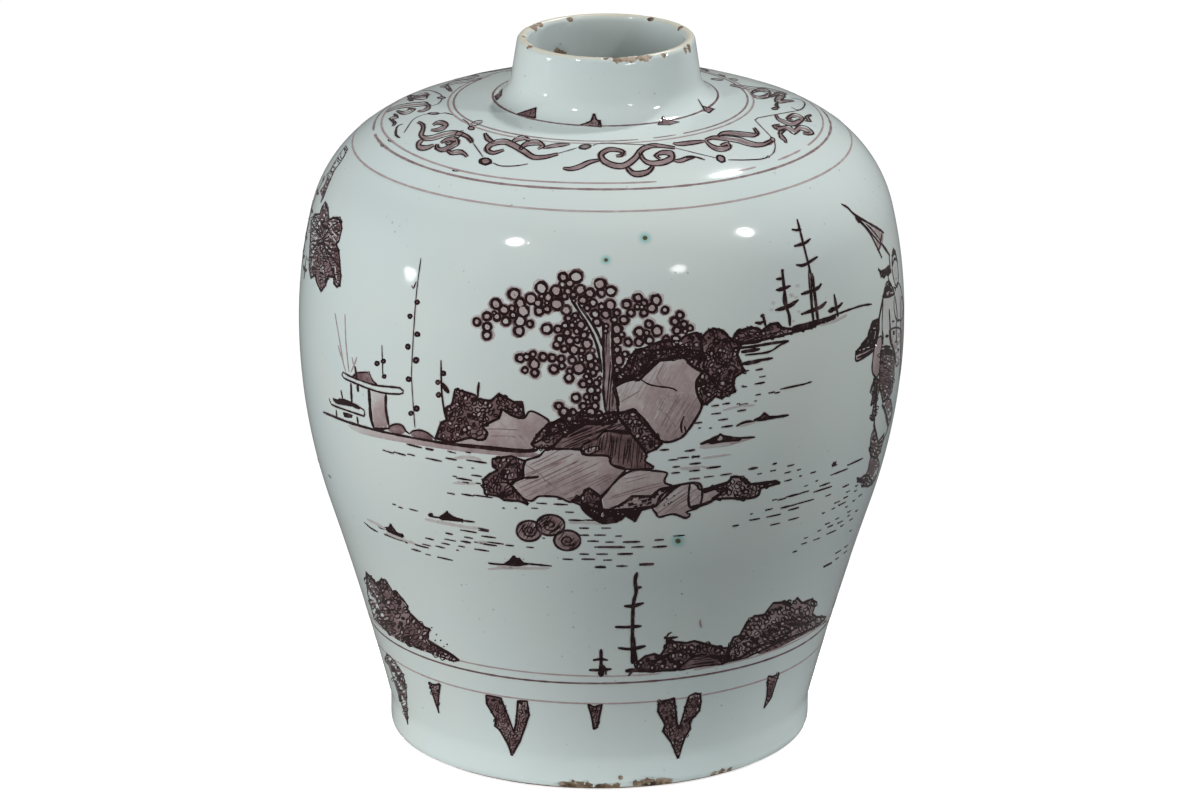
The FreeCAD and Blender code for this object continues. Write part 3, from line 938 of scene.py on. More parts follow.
vinesStrokes = [
    ("line", "hair", [[421, 258, 416, 299, 412, 363, 412, 385, 415, 428]]),
    ("line", "fine", [[411.4, 285.5, 413.4, 288.3, 416.4, 281.4], [382, 345, 383, 377]]),
    ("line", "plain", [[441, 360, 442, 394, 446, 420]]),
    ("line", "firm", [[479, 382, 478, 392, 478, 401]]),
    ("dot", None, [(417.2, 302.3, 2.9), (410, 316.3, 2.8), (417.4, 334.2, 3.2), (407.9, 346.7, 3.2),
      (416.1, 360.2, 3.7), (408.8, 379, 3.1), (416.7, 408.4, 3.5), (411.1, 413.2, 2.9), (377.2, 363.4, 2.9),
      (383.5, 361.3, 2.8), (384.3, 376.4, 2.6), (443.2, 373.4, 3.2), (437.9, 382.4, 2.8),
      (438.6, 394.8, 3.1)]),
    ("line", "heavy", [[442, 383, 446, 389, 449, 393]]),
]
thicketStrokes = [
    ("scribble", "dark", [[455, 389, 475, 395, 478, 399, 491, 401, 499, 394, 514, 402, 522, 402, 524, 415,
      519, 418, 511, 415, 502, 409, 499, 418, 482, 426, 487, 432, 485, 439, 478, 440, 470, 437, 458, 441,
      450, 442, 436, 438, 441, 423, 447, 420, 446, 408, 452, 405, 454, 397]]),
    ("wash", {"tone": "pale", "edge": 0.6}, [[502, 410, 513, 416, 524, 418, 531, 411, 548, 420, 549, 428,
      547, 434, 539, 441, 533, 444, 530, 450, 481, 446, 452, 443, 470, 438, 479, 440, 485, 439, 487, 432,
      483, 426, 499, 418]]),
    ("line", "sketch", [[487, 429, 501, 429, 519, 430], [519, 435, 523, 439, 527, 444], [491, 436, 504, 436,
      516, 437]]),
]
scrollsStrokes = [
    ("ribbon", 5, [[418, 122, 423, 125, 423, 130, 421, 135, 424, 138, 432, 138, 446, 134, 455, 133, 464, 135,
      470, 139, 472, 143], [424, 139, 419, 143, 419, 147, 426, 148, 434, 145], [437, 144, 437, 148, 442, 150,
      448, 148, 455, 144, 458, 141, 453, 139, 446, 140, 441, 143], [538, 149, 543, 146, 539, 143, 530, 143,
      523, 146, 520, 150], [706, 141, 711, 146, 719, 149, 727, 148, 730, 145, 725, 144, 721, 146], [780, 125,
      774, 126, 776, 129, 789, 128, 794, 132, 799, 128, 806, 129, 812, 133, 810, 134, 803, 133]]),
    ("ribbon", 4.5, [[431, 130, 437, 130, 443, 128, 446, 125, 444, 123, 437, 123, 433, 125], [447, 150,
      451, 153, 458, 152, 464, 153, 467, 157], [485, 133, 487, 138, 494, 143], [512, 142, 518, 139, 525, 138,
      530, 141], [563, 168, 570, 169, 579, 167, 590, 162, 600, 160], [718, 137, 721, 134, 730, 133, 756, 135,
      754, 128], [776, 115, 778, 119, 791, 124, 798, 122, 802, 119, 797, 116, 790, 116, 788, 119,
      793, 121]]),
    ("ribbon", 3, [[445.1, 143, 448.9, 143.9, 453.2, 141.9], [777.9, 101.6, 776.3, 105.3, 778.8, 107.5,
      771.7, 109], [440, 87, 446, 86, 448, 89, 452, 91], [446, 86, 453, 83, 481, 79]]),
    ("ribbon", 5.5, [[504, 150, 493, 153, 487, 150, 489, 146, 495, 143, 506, 142, 522, 150, 533, 157,
      545, 157, 558, 154], [616, 156, 623, 155, 623, 152, 617, 150, 608, 150, 601, 155, 603, 160, 612, 165,
      623, 166, 632, 161, 638, 155, 641, 150, 651, 146, 661, 146, 675, 148], [640, 152, 642, 158, 649, 163,
      660, 163, 669, 160, 673, 156, 669, 153, 661, 153, 656, 156, 660, 159], [627, 167, 632, 173, 640, 174,
      649, 171, 653, 166], [706, 140, 711, 138, 721, 138, 738, 140, 747, 143, 758, 145, 768, 143,
      773, 139]]),
    ("ribbon", 3.5, [[543, 148, 553, 146, 570, 144], [804.8, 120.6, 809.4, 121.2, 806.6, 116.9,
      811.2, 115.1], [751, 94, 756, 97, 765, 97, 770, 93, 762, 90, 755, 91, 751, 94], [730, 85, 755, 89,
      768, 90, 787, 94], [770, 97, 781, 93, 784, 97, 775, 99, 779, 102, 786, 101, 794, 101], [397, 111,
      403, 113, 411, 111, 414, 109, 408, 109], [408, 99, 412, 101, 409, 96, 417, 98, 426, 97, 429, 95,
      421, 95, 414, 98], [394, 114, 397, 117, 391, 119, 395, 123, 393, 126]]),
    ("ribbon", 4, [[673, 160, 680, 161, 688, 158, 695, 157], [673, 143, 680, 144, 706, 141], [786, 129,
      779, 134, 784, 138, 786, 143], [386, 112, 395, 108, 404, 106, 426, 104, 429, 107, 423, 111,
      418, 111]]),
    ("ribbon", 2.5, [[454, 80, 466, 78, 479, 76]]),
    ("ribbon", 2, [[711, 79, 723, 80], [729, 79, 738, 80]]),
]
stemsStrokes = [
    ("line", "hair", [[556, 154, 567, 151, 577, 148], [593, 146, 597, 144, 610, 143, 620, 144], [600, 143,
      646, 145, 658, 147], [473, 143, 478, 150, 483, 157], [462.7, 118.9, 467.9, 123.1, 469.7, 126.7],
      [404, 133, 413, 120, 423, 115, 429, 114], [421, 91, 432, 91, 441, 95, 442, 99, 438, 104, 430, 106],
      [675, 148, 695, 153, 716, 158], [770, 156, 774, 152, 775, 144, 771, 137, 755, 120, 758, 118,
      801, 110]]),
    ("line", "fine", [[493, 163, 501, 166, 515, 166, 528, 164], [439, 114, 445, 113, 453, 115], [728, 160,
      747, 160, 762, 159, 770, 156], [791, 98, 801, 100, 805, 104, 802, 109, 797, 110, 791, 107]]),
    ("line", "firm", [[400, 138, 396, 135, 397, 127, 403, 124], [686, 158, 695, 157, 705, 160]]),
    ("bud", None, [(585.1, 146.9, 7, 0.4, -5), (433.6, 113.6, 6.4, 0.2, 0), (471.1, 128.4, 4, 0.5, 5),
      (720.9, 158.9, 5.5, 0.7, 30), (485.6, 161.3, 7, 0.6, 0), (441.5, 97.8, 4.3, 0.3, 0),
      (772.7, 139.6, 3.1, 0.7, 30), (455.8, 170.5, 3.7, 0.3, 0), (390.1, 140.8, 2.8, 0.4, 20),
      (382.1, 145.7, 1.8, 0.7, 30), (768.4, 156.7, 1.8, 0.6, 0)]),
]
teethStrokes = [
    ("tooth", None, [[495, 96, 499, 93, 502, 89, 501, 96, 497, 100], [517, 114, 536, 108, 535, 118,
      525, 116], [580, 125, 587, 123, 591, 121, 594, 114, 596, 119, 599, 122, 601, 127, 591, 126], [658, 125,
      663, 117, 672, 121, 679, 122, 669, 125], [698, 99, 702, 106, 714, 109, 709, 113, 705, 111],
      [598.2, 126.7, 599.7, 120, 601.2, 126.1]]),
]
bigRockStrokes = [
    ("scribble", "dark", [[646, 348, 656, 343, 667, 340, 679, 341, 685, 336, 694, 333, 701, 334, 701, 359,
      685, 355, 672, 359, 657, 361, 642, 373, 632, 378, 616, 380, 616, 375, 624, 369, 631, 356, 636, 350],
      [546, 437, 554, 422, 566, 416, 581, 412, 598, 415, 614, 412, 619, 413, 616, 422, 603, 424, 583, 424,
      566, 428, 554, 434], [615, 377, 638, 375, 649, 361, 651, 351, 682, 347, 689, 350, 702, 351, 705, 358,
      703, 367, 713, 381, 702, 385, 697, 381, 702, 372, 692, 366, 685, 358, 682, 357, 660, 360, 639, 380,
      634, 379, 626, 381, 616, 386], [698, 363, 702, 351, 702, 337, 709, 330, 716, 329, 723, 331, 732, 341,
      741, 344, 737, 355, 744, 371, 735, 377, 733, 385, 735, 391, 722, 398, 715, 396, 707, 404, 702, 404,
      698, 396, 696, 387, 713, 381, 703, 367, 705, 358]]),
    ("wash", {"tone": "pale", "edge": 0.7, "hatch": (62, 3.1, "faint")}, [[616, 385, 626, 380, 634, 378,
      639, 380, 660, 360, 682, 357, 685, 358, 692, 366, 702, 371, 697, 380, 696, 386, 698, 396, 702, 404,
      698, 415, 685, 434, 676, 440, 665, 442, 655, 437, 649, 428, 641, 421, 635, 410, 630, 410, 619, 413,
      617, 399, 613, 389]]),
    ("wash", {"tone": "faint", "hatch": (60, 2.2, "soft")}, [[657, 398, 671, 393, 695, 393, 701, 404,
      697, 415, 684, 434, 676, 439, 665, 441, 657, 435, 653, 422, 657, 412]]),
    ("line", "fine", [[640, 379, 651, 385, 671, 388, 677, 391]]),
    ("line", "sketch", [[661, 385, 657, 377, 665, 361], [665, 412, 671, 421, 676, 427], [620, 402, 631, 396,
      639, 391]]),
    ("line", "plain", [[684, 416, 681, 425, 682, 433], [686.2, 433.3, 685.5, 430.2, 684.5, 426.1]]),
    ("wash", {"tone": "mid", "edge": 0.5, "hatch": (75, 2.2, "dark")}, [[631, 368, 635, 356, 641, 351,
      651, 351, 649, 361, 638, 375, 631, 376]]),
    ("wash", {"tone": "mid", "edge": 0.5, "hatch": (80, 2, "dark")}, [[714, 348, 722, 340, 730, 344,
      733, 354, 728, 363, 720, 364, 714, 359]]),
    ("wash", {"tone": "mid", "edge": 0.5, "hatch": (30, 2.2, "dark")}, [[718, 369, 729, 365, 737, 369,
      733, 377, 732, 386, 722, 391, 717, 385, 720, 377]]),
    ("dot", None, [(716.3, 340.9, 4.2)]),
]
shoreStrokes = [
    ("wash", {"tone": "mid", "edge": 0.7, "hatch": (20, 2.2, "dark")}, [[733, 340, 737, 332, 751, 328,
      760, 330, 760, 341, 741, 343]]),
    ("scribble", "dark", [[734, 338, 739, 332, 751, 327, 762, 331, 770, 324, 778, 323, 782, 328, 795, 329,
      812, 325, 816, 326, 780, 336, 741, 344]]),
    ("wash", {"tone": "mid"}, [[744, 333, 750, 331, 758, 333, 756, 337, 746, 339]]),
    ("wash", {"tone": "mid", "edge": 0.4}, [[767, 330, 771, 325, 778, 325, 781, 330, 775, 333, 768, 333]]),
    ("line", "heavy", [[791, 329, 826, 320, 836, 316]]),
    ("line", "plain", [[816, 322, 857, 307, 872, 304], [745, 355, 768, 352, 780, 345, 789, 341]]),
    ("line", "pink", [[818, 325, 828, 323, 837, 320, 847, 315]]),
    ("line", "firm", [[733, 348, 749, 347, 773, 343, 789, 341], [743, 363, 773, 358]]),
    ("line", "bold", [[741, 352, 748, 351, 760, 349], [742, 364, 750, 363, 760, 361]]),
]
pinesStrokes = [
    ("line", "bold", [[782, 269, 786, 304, 789, 315, 790, 326], [812, 273, 818, 322], [834, 294, 838, 317],
      [763, 314, 764, 320, 766, 327]]),
    ("bar", 1.1, [[777.1, 279.1, 782.4, 278.4], [777, 290, 782, 289, 790, 286], [776, 310, 784, 308,
      791, 305, 798, 300], [802, 294, 814, 290, 819, 287, 821, 284], [802, 314, 816, 309, 822, 306,
      826, 302]]),
    ("line", "heavy", [[782.4, 269.3, 782.8, 273.1], [784, 293, 785, 302, 786, 307], [760.4, 315.7,
      762.5, 316.2, 763.7, 313.8]]),
    ("line", "firm", [[797, 219, 809, 267, 811, 277, 812, 306, 814, 323]]),
    ("bar", 0.9, [[792.7, 229.6, 796, 230.3, 800.6, 229.3], [795, 246, 805, 243, 810, 239], [797, 265,
      804, 265, 817, 257]]),
    ("line", "plain", [[809, 267, 809, 281, 813, 323]]),
    ("bar", 1.2, [[829, 311, 838, 307, 842, 303], [756, 322.7, 760.6, 323.1, 763.5, 321.5]]),
    ("line", "broad", [[828.7, 311.6, 834.3, 308.5]]),
    ("smudge", None, [(797.4, 285.6, 2.6), (791.2, 295.1, 2.8), (796, 297.1, 2.2), (773, 302.8, 2.4),
      (771.1, 309.5, 2.2), (798.9, 311.4, 1.8), (793.1, 321, 2)]),
]
lowRocksStrokes = [
    ("wash", {"tone": "pale", "edge": 0.6, "hatch": (25, 3, "soft")}, [[525, 461, 539, 456, 549, 449,
      581, 450, 586, 455, 608, 456, 611, 464, 625, 469, 619, 477, 600, 496, 589, 488, 581, 496, 571, 502,
      558, 497, 542, 496, 537, 497, 531, 501, 520, 496, 511, 485, 515, 481, 523, 478, 523, 469]]),
    ("line", "sketch", [[525, 464, 541, 475, 546, 483], [546, 480, 554, 487, 560, 492]]),
    ("line", "firm", [[523, 478, 537, 477, 539, 476]]),
    ("wash", {"tone": "mid", "edge": 0.6, "hatch": (22, 2.2, "dark")}, [[552, 448, 562, 437, 573, 430,
      586, 424, 608, 424, 619, 418, 630, 433, 606, 431, 597, 438, 583, 445, 581, 448, 566, 449]]),
    ("wash", {"tone": "mid", "edge": 0.6, "hatch": (84, 2.2, "dark")}, [[581, 448, 587, 442, 597, 438,
      606, 431, 630, 433, 646, 453, 645, 461, 653, 468, 625, 469, 611, 464, 608, 456, 586, 455, 582, 453]]),
    ("wash", {"tone": "pale", "edge": 0.4}, [[583, 451, 589, 448, 597, 446, 600, 449, 593, 453, 587, 454]]),
    ("scribble", "dark", [[531, 445, 539, 433, 549, 423, 562, 421, 601, 421, 619, 413, 627, 411, 635, 411,
      643, 418, 662, 443, 656, 449, 646, 453, 619, 418, 608, 424, 586, 424, 562, 437, 552, 448, 539, 448],
      [492, 459, 511, 456, 525, 461, 523, 469, 523, 478, 515, 481, 511, 485, 528, 504, 519, 501, 504, 500,
      498, 496, 485, 494, 483, 480, 490, 474, 498, 470, 493, 467], [571, 501, 581, 496, 589, 488, 600, 496,
      602, 510, 598, 518, 587, 512, 581, 505]]),
    ("wash", {"tone": "mid", "edge": 0.5}, [[503, 469, 514, 464, 520, 469, 519, 477, 507, 480, 501, 477],
      [498, 483, 507, 483, 514, 491, 507, 496, 498, 494, 493, 489]]),
    ("wash", {"tone": "pale", "edge": 0.6, "hatch": (15, 3, "soft")}, [[601, 510, 600, 502, 603, 496,
      619, 478, 635, 470, 657, 471, 667, 473, 665, 478, 665, 483, 673, 487, 660, 496, 656, 505, 645, 507,
      613, 510]]),
    ("scribble", "ink", [[581, 502, 589, 512, 594, 516, 601, 519, 613, 519, 619, 516, 625, 515, 635, 521,
      641, 510, 656, 506, 673, 489, 680, 485, 660, 489, 651, 496, 632, 496, 625, 502, 609, 510, 593, 508]]),
    ("line", "broad", [[581, 504, 589, 512, 601, 520, 613, 520, 625, 515]]),
    ("wash", {"tone": "pale", "edge": 0.6, "hatch": (35, 3.2, "soft")}, [[652, 508, 656, 505, 662, 496,
      670, 488, 678, 485, 700, 484, 700, 505, 686, 512, 690, 514, 686, 518, 673, 514, 659, 517, 656, 513]]),
    ("mark", None, [(666.8, 498.9, 1), (670.8, 502, 1), (664.4, 505.2, 1), (674, 495.7, 1),
      (668.4, 503.6, 1)]),
]
stonesStrokes = [
    ("stone", None, [(550.4, 525, 14.2, 10.3), (567.3, 540.3, 13.2, 10), (529.2, 530.8, 12.6, 10.2)]),
]
spitStrokes = [
    ("wash", {"tone": "pale", "edge": 0.6}, [[690, 484, 697, 485, 702, 490, 728, 483, 731, 477, 740, 477,
      751, 484, 779, 482, 773, 485, 761, 488, 758, 495, 751, 498, 717, 499, 707, 503, 690, 507]]),
    ("scribble", "mid", [[702, 490, 728, 482, 732, 477, 740, 477, 751, 484, 776, 481, 780, 483, 761, 488,
      758, 495, 751, 498, 740, 499, 730, 498, 712, 499, 728, 488, 715, 489, 705, 492]]),
    ("line", "bold", [[690, 507, 698, 506, 707, 503, 715, 499]]),
]
isletsStrokes = [
    ("line", "plain", [[428, 515, 435, 517, 475, 522], [425, 519, 443, 523, 455, 525], [478, 528, 483, 529,
      489, 530], [364, 522, 371, 528, 378, 532], [410, 541, 417, 545, 429, 548], [488, 563, 496, 564,
      520, 565], [520, 563, 552, 566], [723, 439, 740, 438, 755, 437]]),
    ("scribble", "ink", [[439, 518, 444, 515, 447, 512, 450, 515, 455, 518, 463, 520, 462, 521, 442, 519],
      [385, 528, 389, 528, 391, 525, 397, 533, 403, 535, 402, 537, 388, 531], [505, 564, 510, 561, 514, 556,
      517, 561, 520, 563, 520, 565, 508, 566], [513, 562, 515, 558, 519, 559, 523, 563, 527, 564, 518, 565],
      [707, 442, 718, 437, 720, 434, 723, 436, 741, 439, 738, 440, 723, 441, 712, 443], [754, 420, 760, 418,
      764, 413, 769, 417, 776, 417, 761, 420]]),
    ("line", "pink", [[425, 519, 466, 527, 479, 528], [367, 519, 377, 524, 386, 529], [386, 533, 415, 544],
      [488, 569, 501, 568, 519, 568], [497, 566, 520, 568, 549, 568], [700, 447, 715, 446, 730, 444],
      [736, 426, 746, 424, 756, 422]]),
    ("line", "heavy", [[428.4, 515.5, 433, 514]]),
    ("line", "firm", [[378, 526, 381, 528, 387, 529], [384, 534, 404, 541], [736, 426, 745, 422, 755, 421],
      [763, 418, 776, 417, 789, 415]]),
    ("line", "bold", [[404.3, 540.8, 407.7, 543.1], [700, 444, 706, 442, 720, 435]]),
    ("wash", {"tone": "pale"}, [[717, 440, 721, 437, 726, 438, 727, 441], [700, 444, 707, 442, 720, 434,
      727, 437, 736, 439, 756, 437, 728, 446, 712, 447, 702, 446]]),
]
lowHillsStrokes = [
    ("scribble", "dark", [[366, 572, 374, 580, 377, 585, 382, 579, 387, 582, 393, 592, 397, 592, 408, 606,
      407, 610, 425, 628, 430, 629, 428, 633, 428, 640, 453, 655, 459, 660, 453, 661, 416, 647, 400, 640,
      389, 633, 374, 618, 368, 595, 367, 585], [636, 670, 638, 662, 645, 656, 654, 654, 660, 656, 665, 649,
      668, 641, 686, 643, 694, 641, 722, 648, 729, 648, 726, 662, 722, 664, 721, 659, 702, 654, 692, 657,
      676, 670, 654, 671]]),
    ("wash", {"tone": "mid", "hatch": (28, 2, "dark")}, [[375, 618, 382, 620, 391, 626, 416, 637, 428, 640,
      435, 647, 453, 659, 444, 658, 400, 640, 389, 633, 381, 625]]),
    ("line", "bold", [[366, 572, 378, 587, 383, 596, 386, 606, 393, 611], [379, 582, 383, 595, 386, 603],
      [395, 596, 401, 598, 406, 603], [408, 611, 423, 626, 430, 629], [428, 633, 428, 640, 459, 660],
      [367, 574, 368, 585, 375, 595, 379, 606], [728, 649, 726, 656, 727, 662, 722, 664], [729, 662,
      743, 656, 759, 646, 778, 640, 797, 627], [788, 624, 805, 624, 818, 617], [638, 670, 665, 656, 679, 651,
      692, 649], [665, 656, 679, 665, 684, 664], [633, 670, 628.3, 676.1]]),
    ("mark", None, [(431.7, 627.6, 0.9), (436.4, 634.6, 0.9), (435.2, 640.3, 0.9), (440.8, 640.3, 0.9),
      (443.9, 646.4, 0.9), (447.2, 644.2, 0.9)]),
    ("wash", {"tone": "mid", "edge": 0.5, "hatch": (8, 2, "dark")}, [[678, 670, 686, 662, 694, 657, 705, 655,
      718, 656, 724, 659, 722, 664, 702, 666]]),
    ("scribble", "mid", [[729, 662, 729, 649, 733, 638, 740, 635, 746, 624, 754, 616, 764, 615, 773, 603,
      788, 602, 791, 605, 797, 598, 802, 603, 812, 599, 815, 606, 812, 614, 816, 617, 826, 617, 820, 624,
      804, 632, 781, 641, 743, 659]]),
    ("wash", {"tone": "mid", "edge": 0.4, "hatch": (80, 2, "dark")}, [[730, 659, 731, 649, 743, 640,
      753, 637, 751, 649, 743, 656]]),
    ("wash", {"tone": "mid", "edge": 0.4, "hatch": (-18, 2, "dark")}, [[762, 635, 773, 624, 810, 616,
      804, 624, 788, 632, 772, 638]]),
    ("wash", {"tone": "mid", "hatch": (-30, 2, "dark")}, [[762, 649, 804, 632, 824, 619, 827, 621, 813, 630,
      765, 654]]),
    ("line", "heavy", [[625, 671, 638, 670, 657, 671]]),
]
polesStrokes = [
    ("line", "bold", [[637, 572, 635, 581, 636, 592, 633, 608, 632, 662], [601, 649, 601, 677], [667, 645,
      667, 639, 665, 636]]),
    ("bar", 1.1, [[636.2, 587.9, 641, 587.1], [625, 606, 633, 606, 643, 603], [616, 627, 627, 627, 641, 626],
      [619, 648, 631, 649, 645, 646]]),
    ("line", "firm", [[634, 637, 635, 651, 637, 664], [666.5, 638.1, 668.4, 633.7, 671.6, 632.1]]),
    ("line", "heavy", [[633, 649, 633, 664]]),
    ("bar", 1, [[594, 660, 601, 659, 607, 660], [590, 670, 600, 670, 611, 669]]),
    ("line", "plain", [[602, 664, 605, 668, 606, 675]]),
    ("line", "broad", [[601.2, 670, 601.2, 676.4]]),
    ("bar", 0.9, [[665, 638, 670, 638, 677, 637]]),
    ("line", "sketch", [[700, 619.3, 700.3, 623.8, 701.6, 627.8]]),
    ("mark", None, [(681.8, 593.8, 0.8)]),
]
lappetsStrokes = [
    ("patchy", {"tone": "mid", "edge": 0.6}, [[486, 695, 487, 704, 496, 719, 495, 726, 500, 730, 508, 744,
      512, 755, 520, 741, 529, 715, 527, 701, 518, 701, 516, 724, 514, 732, 501, 698], [659, 701, 658, 711,
      665, 724, 663, 731, 671, 742, 678, 758, 684, 739, 690, 729, 690, 721, 699, 711, 701, 702, 700, 694,
      695, 693, 689, 696, 679, 729, 677, 724, 674, 698, 668, 700], [398, 666, 403, 674, 406, 688, 408, 724,
      389, 665, 385, 660, 387, 654, 391, 657], [429, 683, 434, 685, 440, 684, 438, 706, 439, 713, 435, 701],
      [588, 704, 594, 707, 602, 704, 597, 727, 594, 729, 592, 718], [768, 676, 773, 677, 779, 673, 771, 698,
      764, 708, 767, 696]]),
]
figuresStrokes = [
    ("line", "firm", [[841, 204, 848, 208, 855, 215, 877, 228, 884, 233], [856, 218, 869, 232, 882, 258],
      [882, 233, 879, 250], [889, 256, 890, 268, 888, 276], [888.1, 276.3, 888.4, 281.1], [893.7, 286.8,
      895.6, 289.2], [895, 296, 897, 315, 896, 329, 897, 345], [857, 358, 866, 354, 873, 349], [889, 330,
      890, 341, 894, 352, 895, 363], [881.8, 347.3, 886.1, 346.3, 890.5, 347.3], [892, 378, 887, 397,
      882, 402]]),
    ("wash", {"tone": "pale"}, [[861, 220, 870, 224, 883, 233, 879, 250, 869, 233, 862, 224], [886, 293.1,
      888.9, 291.1, 891.7, 293.5, 890.3, 295, 887, 295.6]]),
    ("line", "plain", [[861, 221, 881, 245], [866, 224, 874, 232, 880, 240], [883, 299, 882, 324,
      883, 345]]),
    ("line", "broad", [[855.4, 215.1, 858.3, 220.8, 861.1, 219.4], [881, 353, 886, 351, 892, 353],
      [831.9, 466.1, 833.6, 463.9, 836.3, 462.8]]),
    ("line", "bold", [[881, 243, 886, 250, 890, 256], [883, 297, 874, 345], [889, 309, 891, 345], [882, 330,
      883, 338, 882, 343], [875, 419, 874, 425, 878, 442], [883, 402, 882, 405, 884, 408, 888, 426, 882, 441,
      878, 443]]),
    ("scribble", "ink", [[878, 269, 881, 272, 886, 269, 889, 266, 891, 271, 888, 275, 886, 274, 884, 277,
      881, 276, 880, 272], [886, 283, 889, 281, 893, 289, 894, 294, 887, 297, 883, 297, 884, 291], [872, 322,
      879, 319, 879, 329, 876, 345, 861, 345, 868, 337, 870, 329], [869, 330, 879, 330, 874, 345, 871, 348,
      856, 354, 856, 352, 860, 347, 867, 342]]),
    ("wash", {"tone": "robe"}, [[883, 298, 894, 297, 896, 303, 894, 345, 881, 345, 882, 310], [884, 330,
      889, 330, 889, 343, 885, 345, 882, 342]]),
    ("mark", None, [(893.2, 321.3, 1.3), (893.7, 331.8, 1.3), (887, 336.1, 1.3), (886.9, 336, 1.9),
      (893.7, 333.8, 1.3), (895.9, 341.9, 1.3), (898.1, 349.5, 1.3)]),
    ("wash", {"tone": "pale", "edge": 0.6}, [[856, 354, 863, 352, 872, 347, 873, 351, 857, 361]]),
    ("wash", {"tone": "pale", "edge": 0.7}, [[879, 337, 882, 340, 879, 373, 875, 377, 873, 374, 872, 366,
      875, 344]]),
    ("wash", {"tone": "pale", "edge": 0.5}, [[890, 330, 901, 330, 900, 358, 896, 366, 895, 354, 892, 343]]),
    ("patchy", {"tone": "mid", "edge": 0.7}, [[880, 351, 885, 350, 892, 351, 894, 357, 894, 376, 889, 397,
      883, 402, 879, 384, 880, 363]]),
    ("wash", {"tone": "pale", "edge": 0.4}, [[891, 381, 893, 382, 892, 391, 889, 397, 887, 397, 890, 390]]),
    ("line", "heavy", [[876, 378, 873, 384, 870, 393], [877, 378, 875, 417]]),
    ("scribble", "dark", [[875, 379, 879, 380, 879, 391, 876, 400, 876, 412, 874, 420, 871, 419, 874, 402,
      871, 405, 874, 389], [871, 436, 874, 428, 878, 442, 884, 434, 881, 449, 877, 458, 871, 457, 870, 451],
      [863, 476, 868, 475, 873, 483, 869, 486, 862, 486, 864, 482, 857, 481]]),
    ("wash", {"tone": "mid", "edge": 0.5}, [[885, 404, 890, 399, 892, 412, 888, 426, 885, 412], [871, 457,
      877, 458, 879, 467, 874, 481, 868, 482, 865, 477, 868, 469]]),
]
leafStrokes = [
    ("wash", {"tone": "mid", "hatch": (-58, 2.2, "dark")}, [[320, 203, 322, 197, 320, 191, 324, 185,
      331, 168, 346, 145, 348, 149, 345, 156, 333, 174, 323, 200]]),
    ("line", "plain", [[321, 203, 334, 172, 341, 162, 347, 150], [325, 203, 326, 213, 322, 238], [315, 216,
      318, 225, 321, 237], [330, 220, 327, 228, 323, 238], [340, 222, 334, 225, 328, 231, 323, 239],
      [341, 230, 334, 234, 323, 240], [337, 243, 331, 241, 323, 241], [311, 222, 316, 230, 321, 238],
      [310, 242, 316, 241, 321, 240], [310, 252, 315, 247, 321, 242], [339, 252, 331, 249, 323, 242],
      [340, 268, 322, 243], [338, 285, 323, 244], [326, 284, 322, 244], [321, 289, 320, 273, 321, 244],
      [317, 282, 316, 268, 321, 243], [310, 276, 312, 260, 320, 242]]),
    ("patchy", {"tone": "mid", "edge": 0.7}, [[325, 202, 328, 209, 329, 220, 333, 218, 337, 218, 341, 221,
      342, 229, 339, 241, 336, 244, 339, 251, 341, 276, 340, 285, 337, 287, 334, 283, 334, 277, 328, 276,
      326, 285, 321, 291, 317, 283, 315, 275, 311, 278, 309, 268, 311, 222, 315, 215, 320, 214, 322, 207]]),
    ("line", "slimPink", [[330.6, 229.8, 334.7, 234.4, 337.2, 236.4], [328.1, 233.9, 333.7, 239,
      335.7, 242.6], [329.1, 221.6, 333.7, 226.7], [321.9, 265.5, 324.5, 273.7], [335, 266, 337, 281],
      [312.2, 235.9, 315.3, 238], [313, 254, 313, 266]]),
]
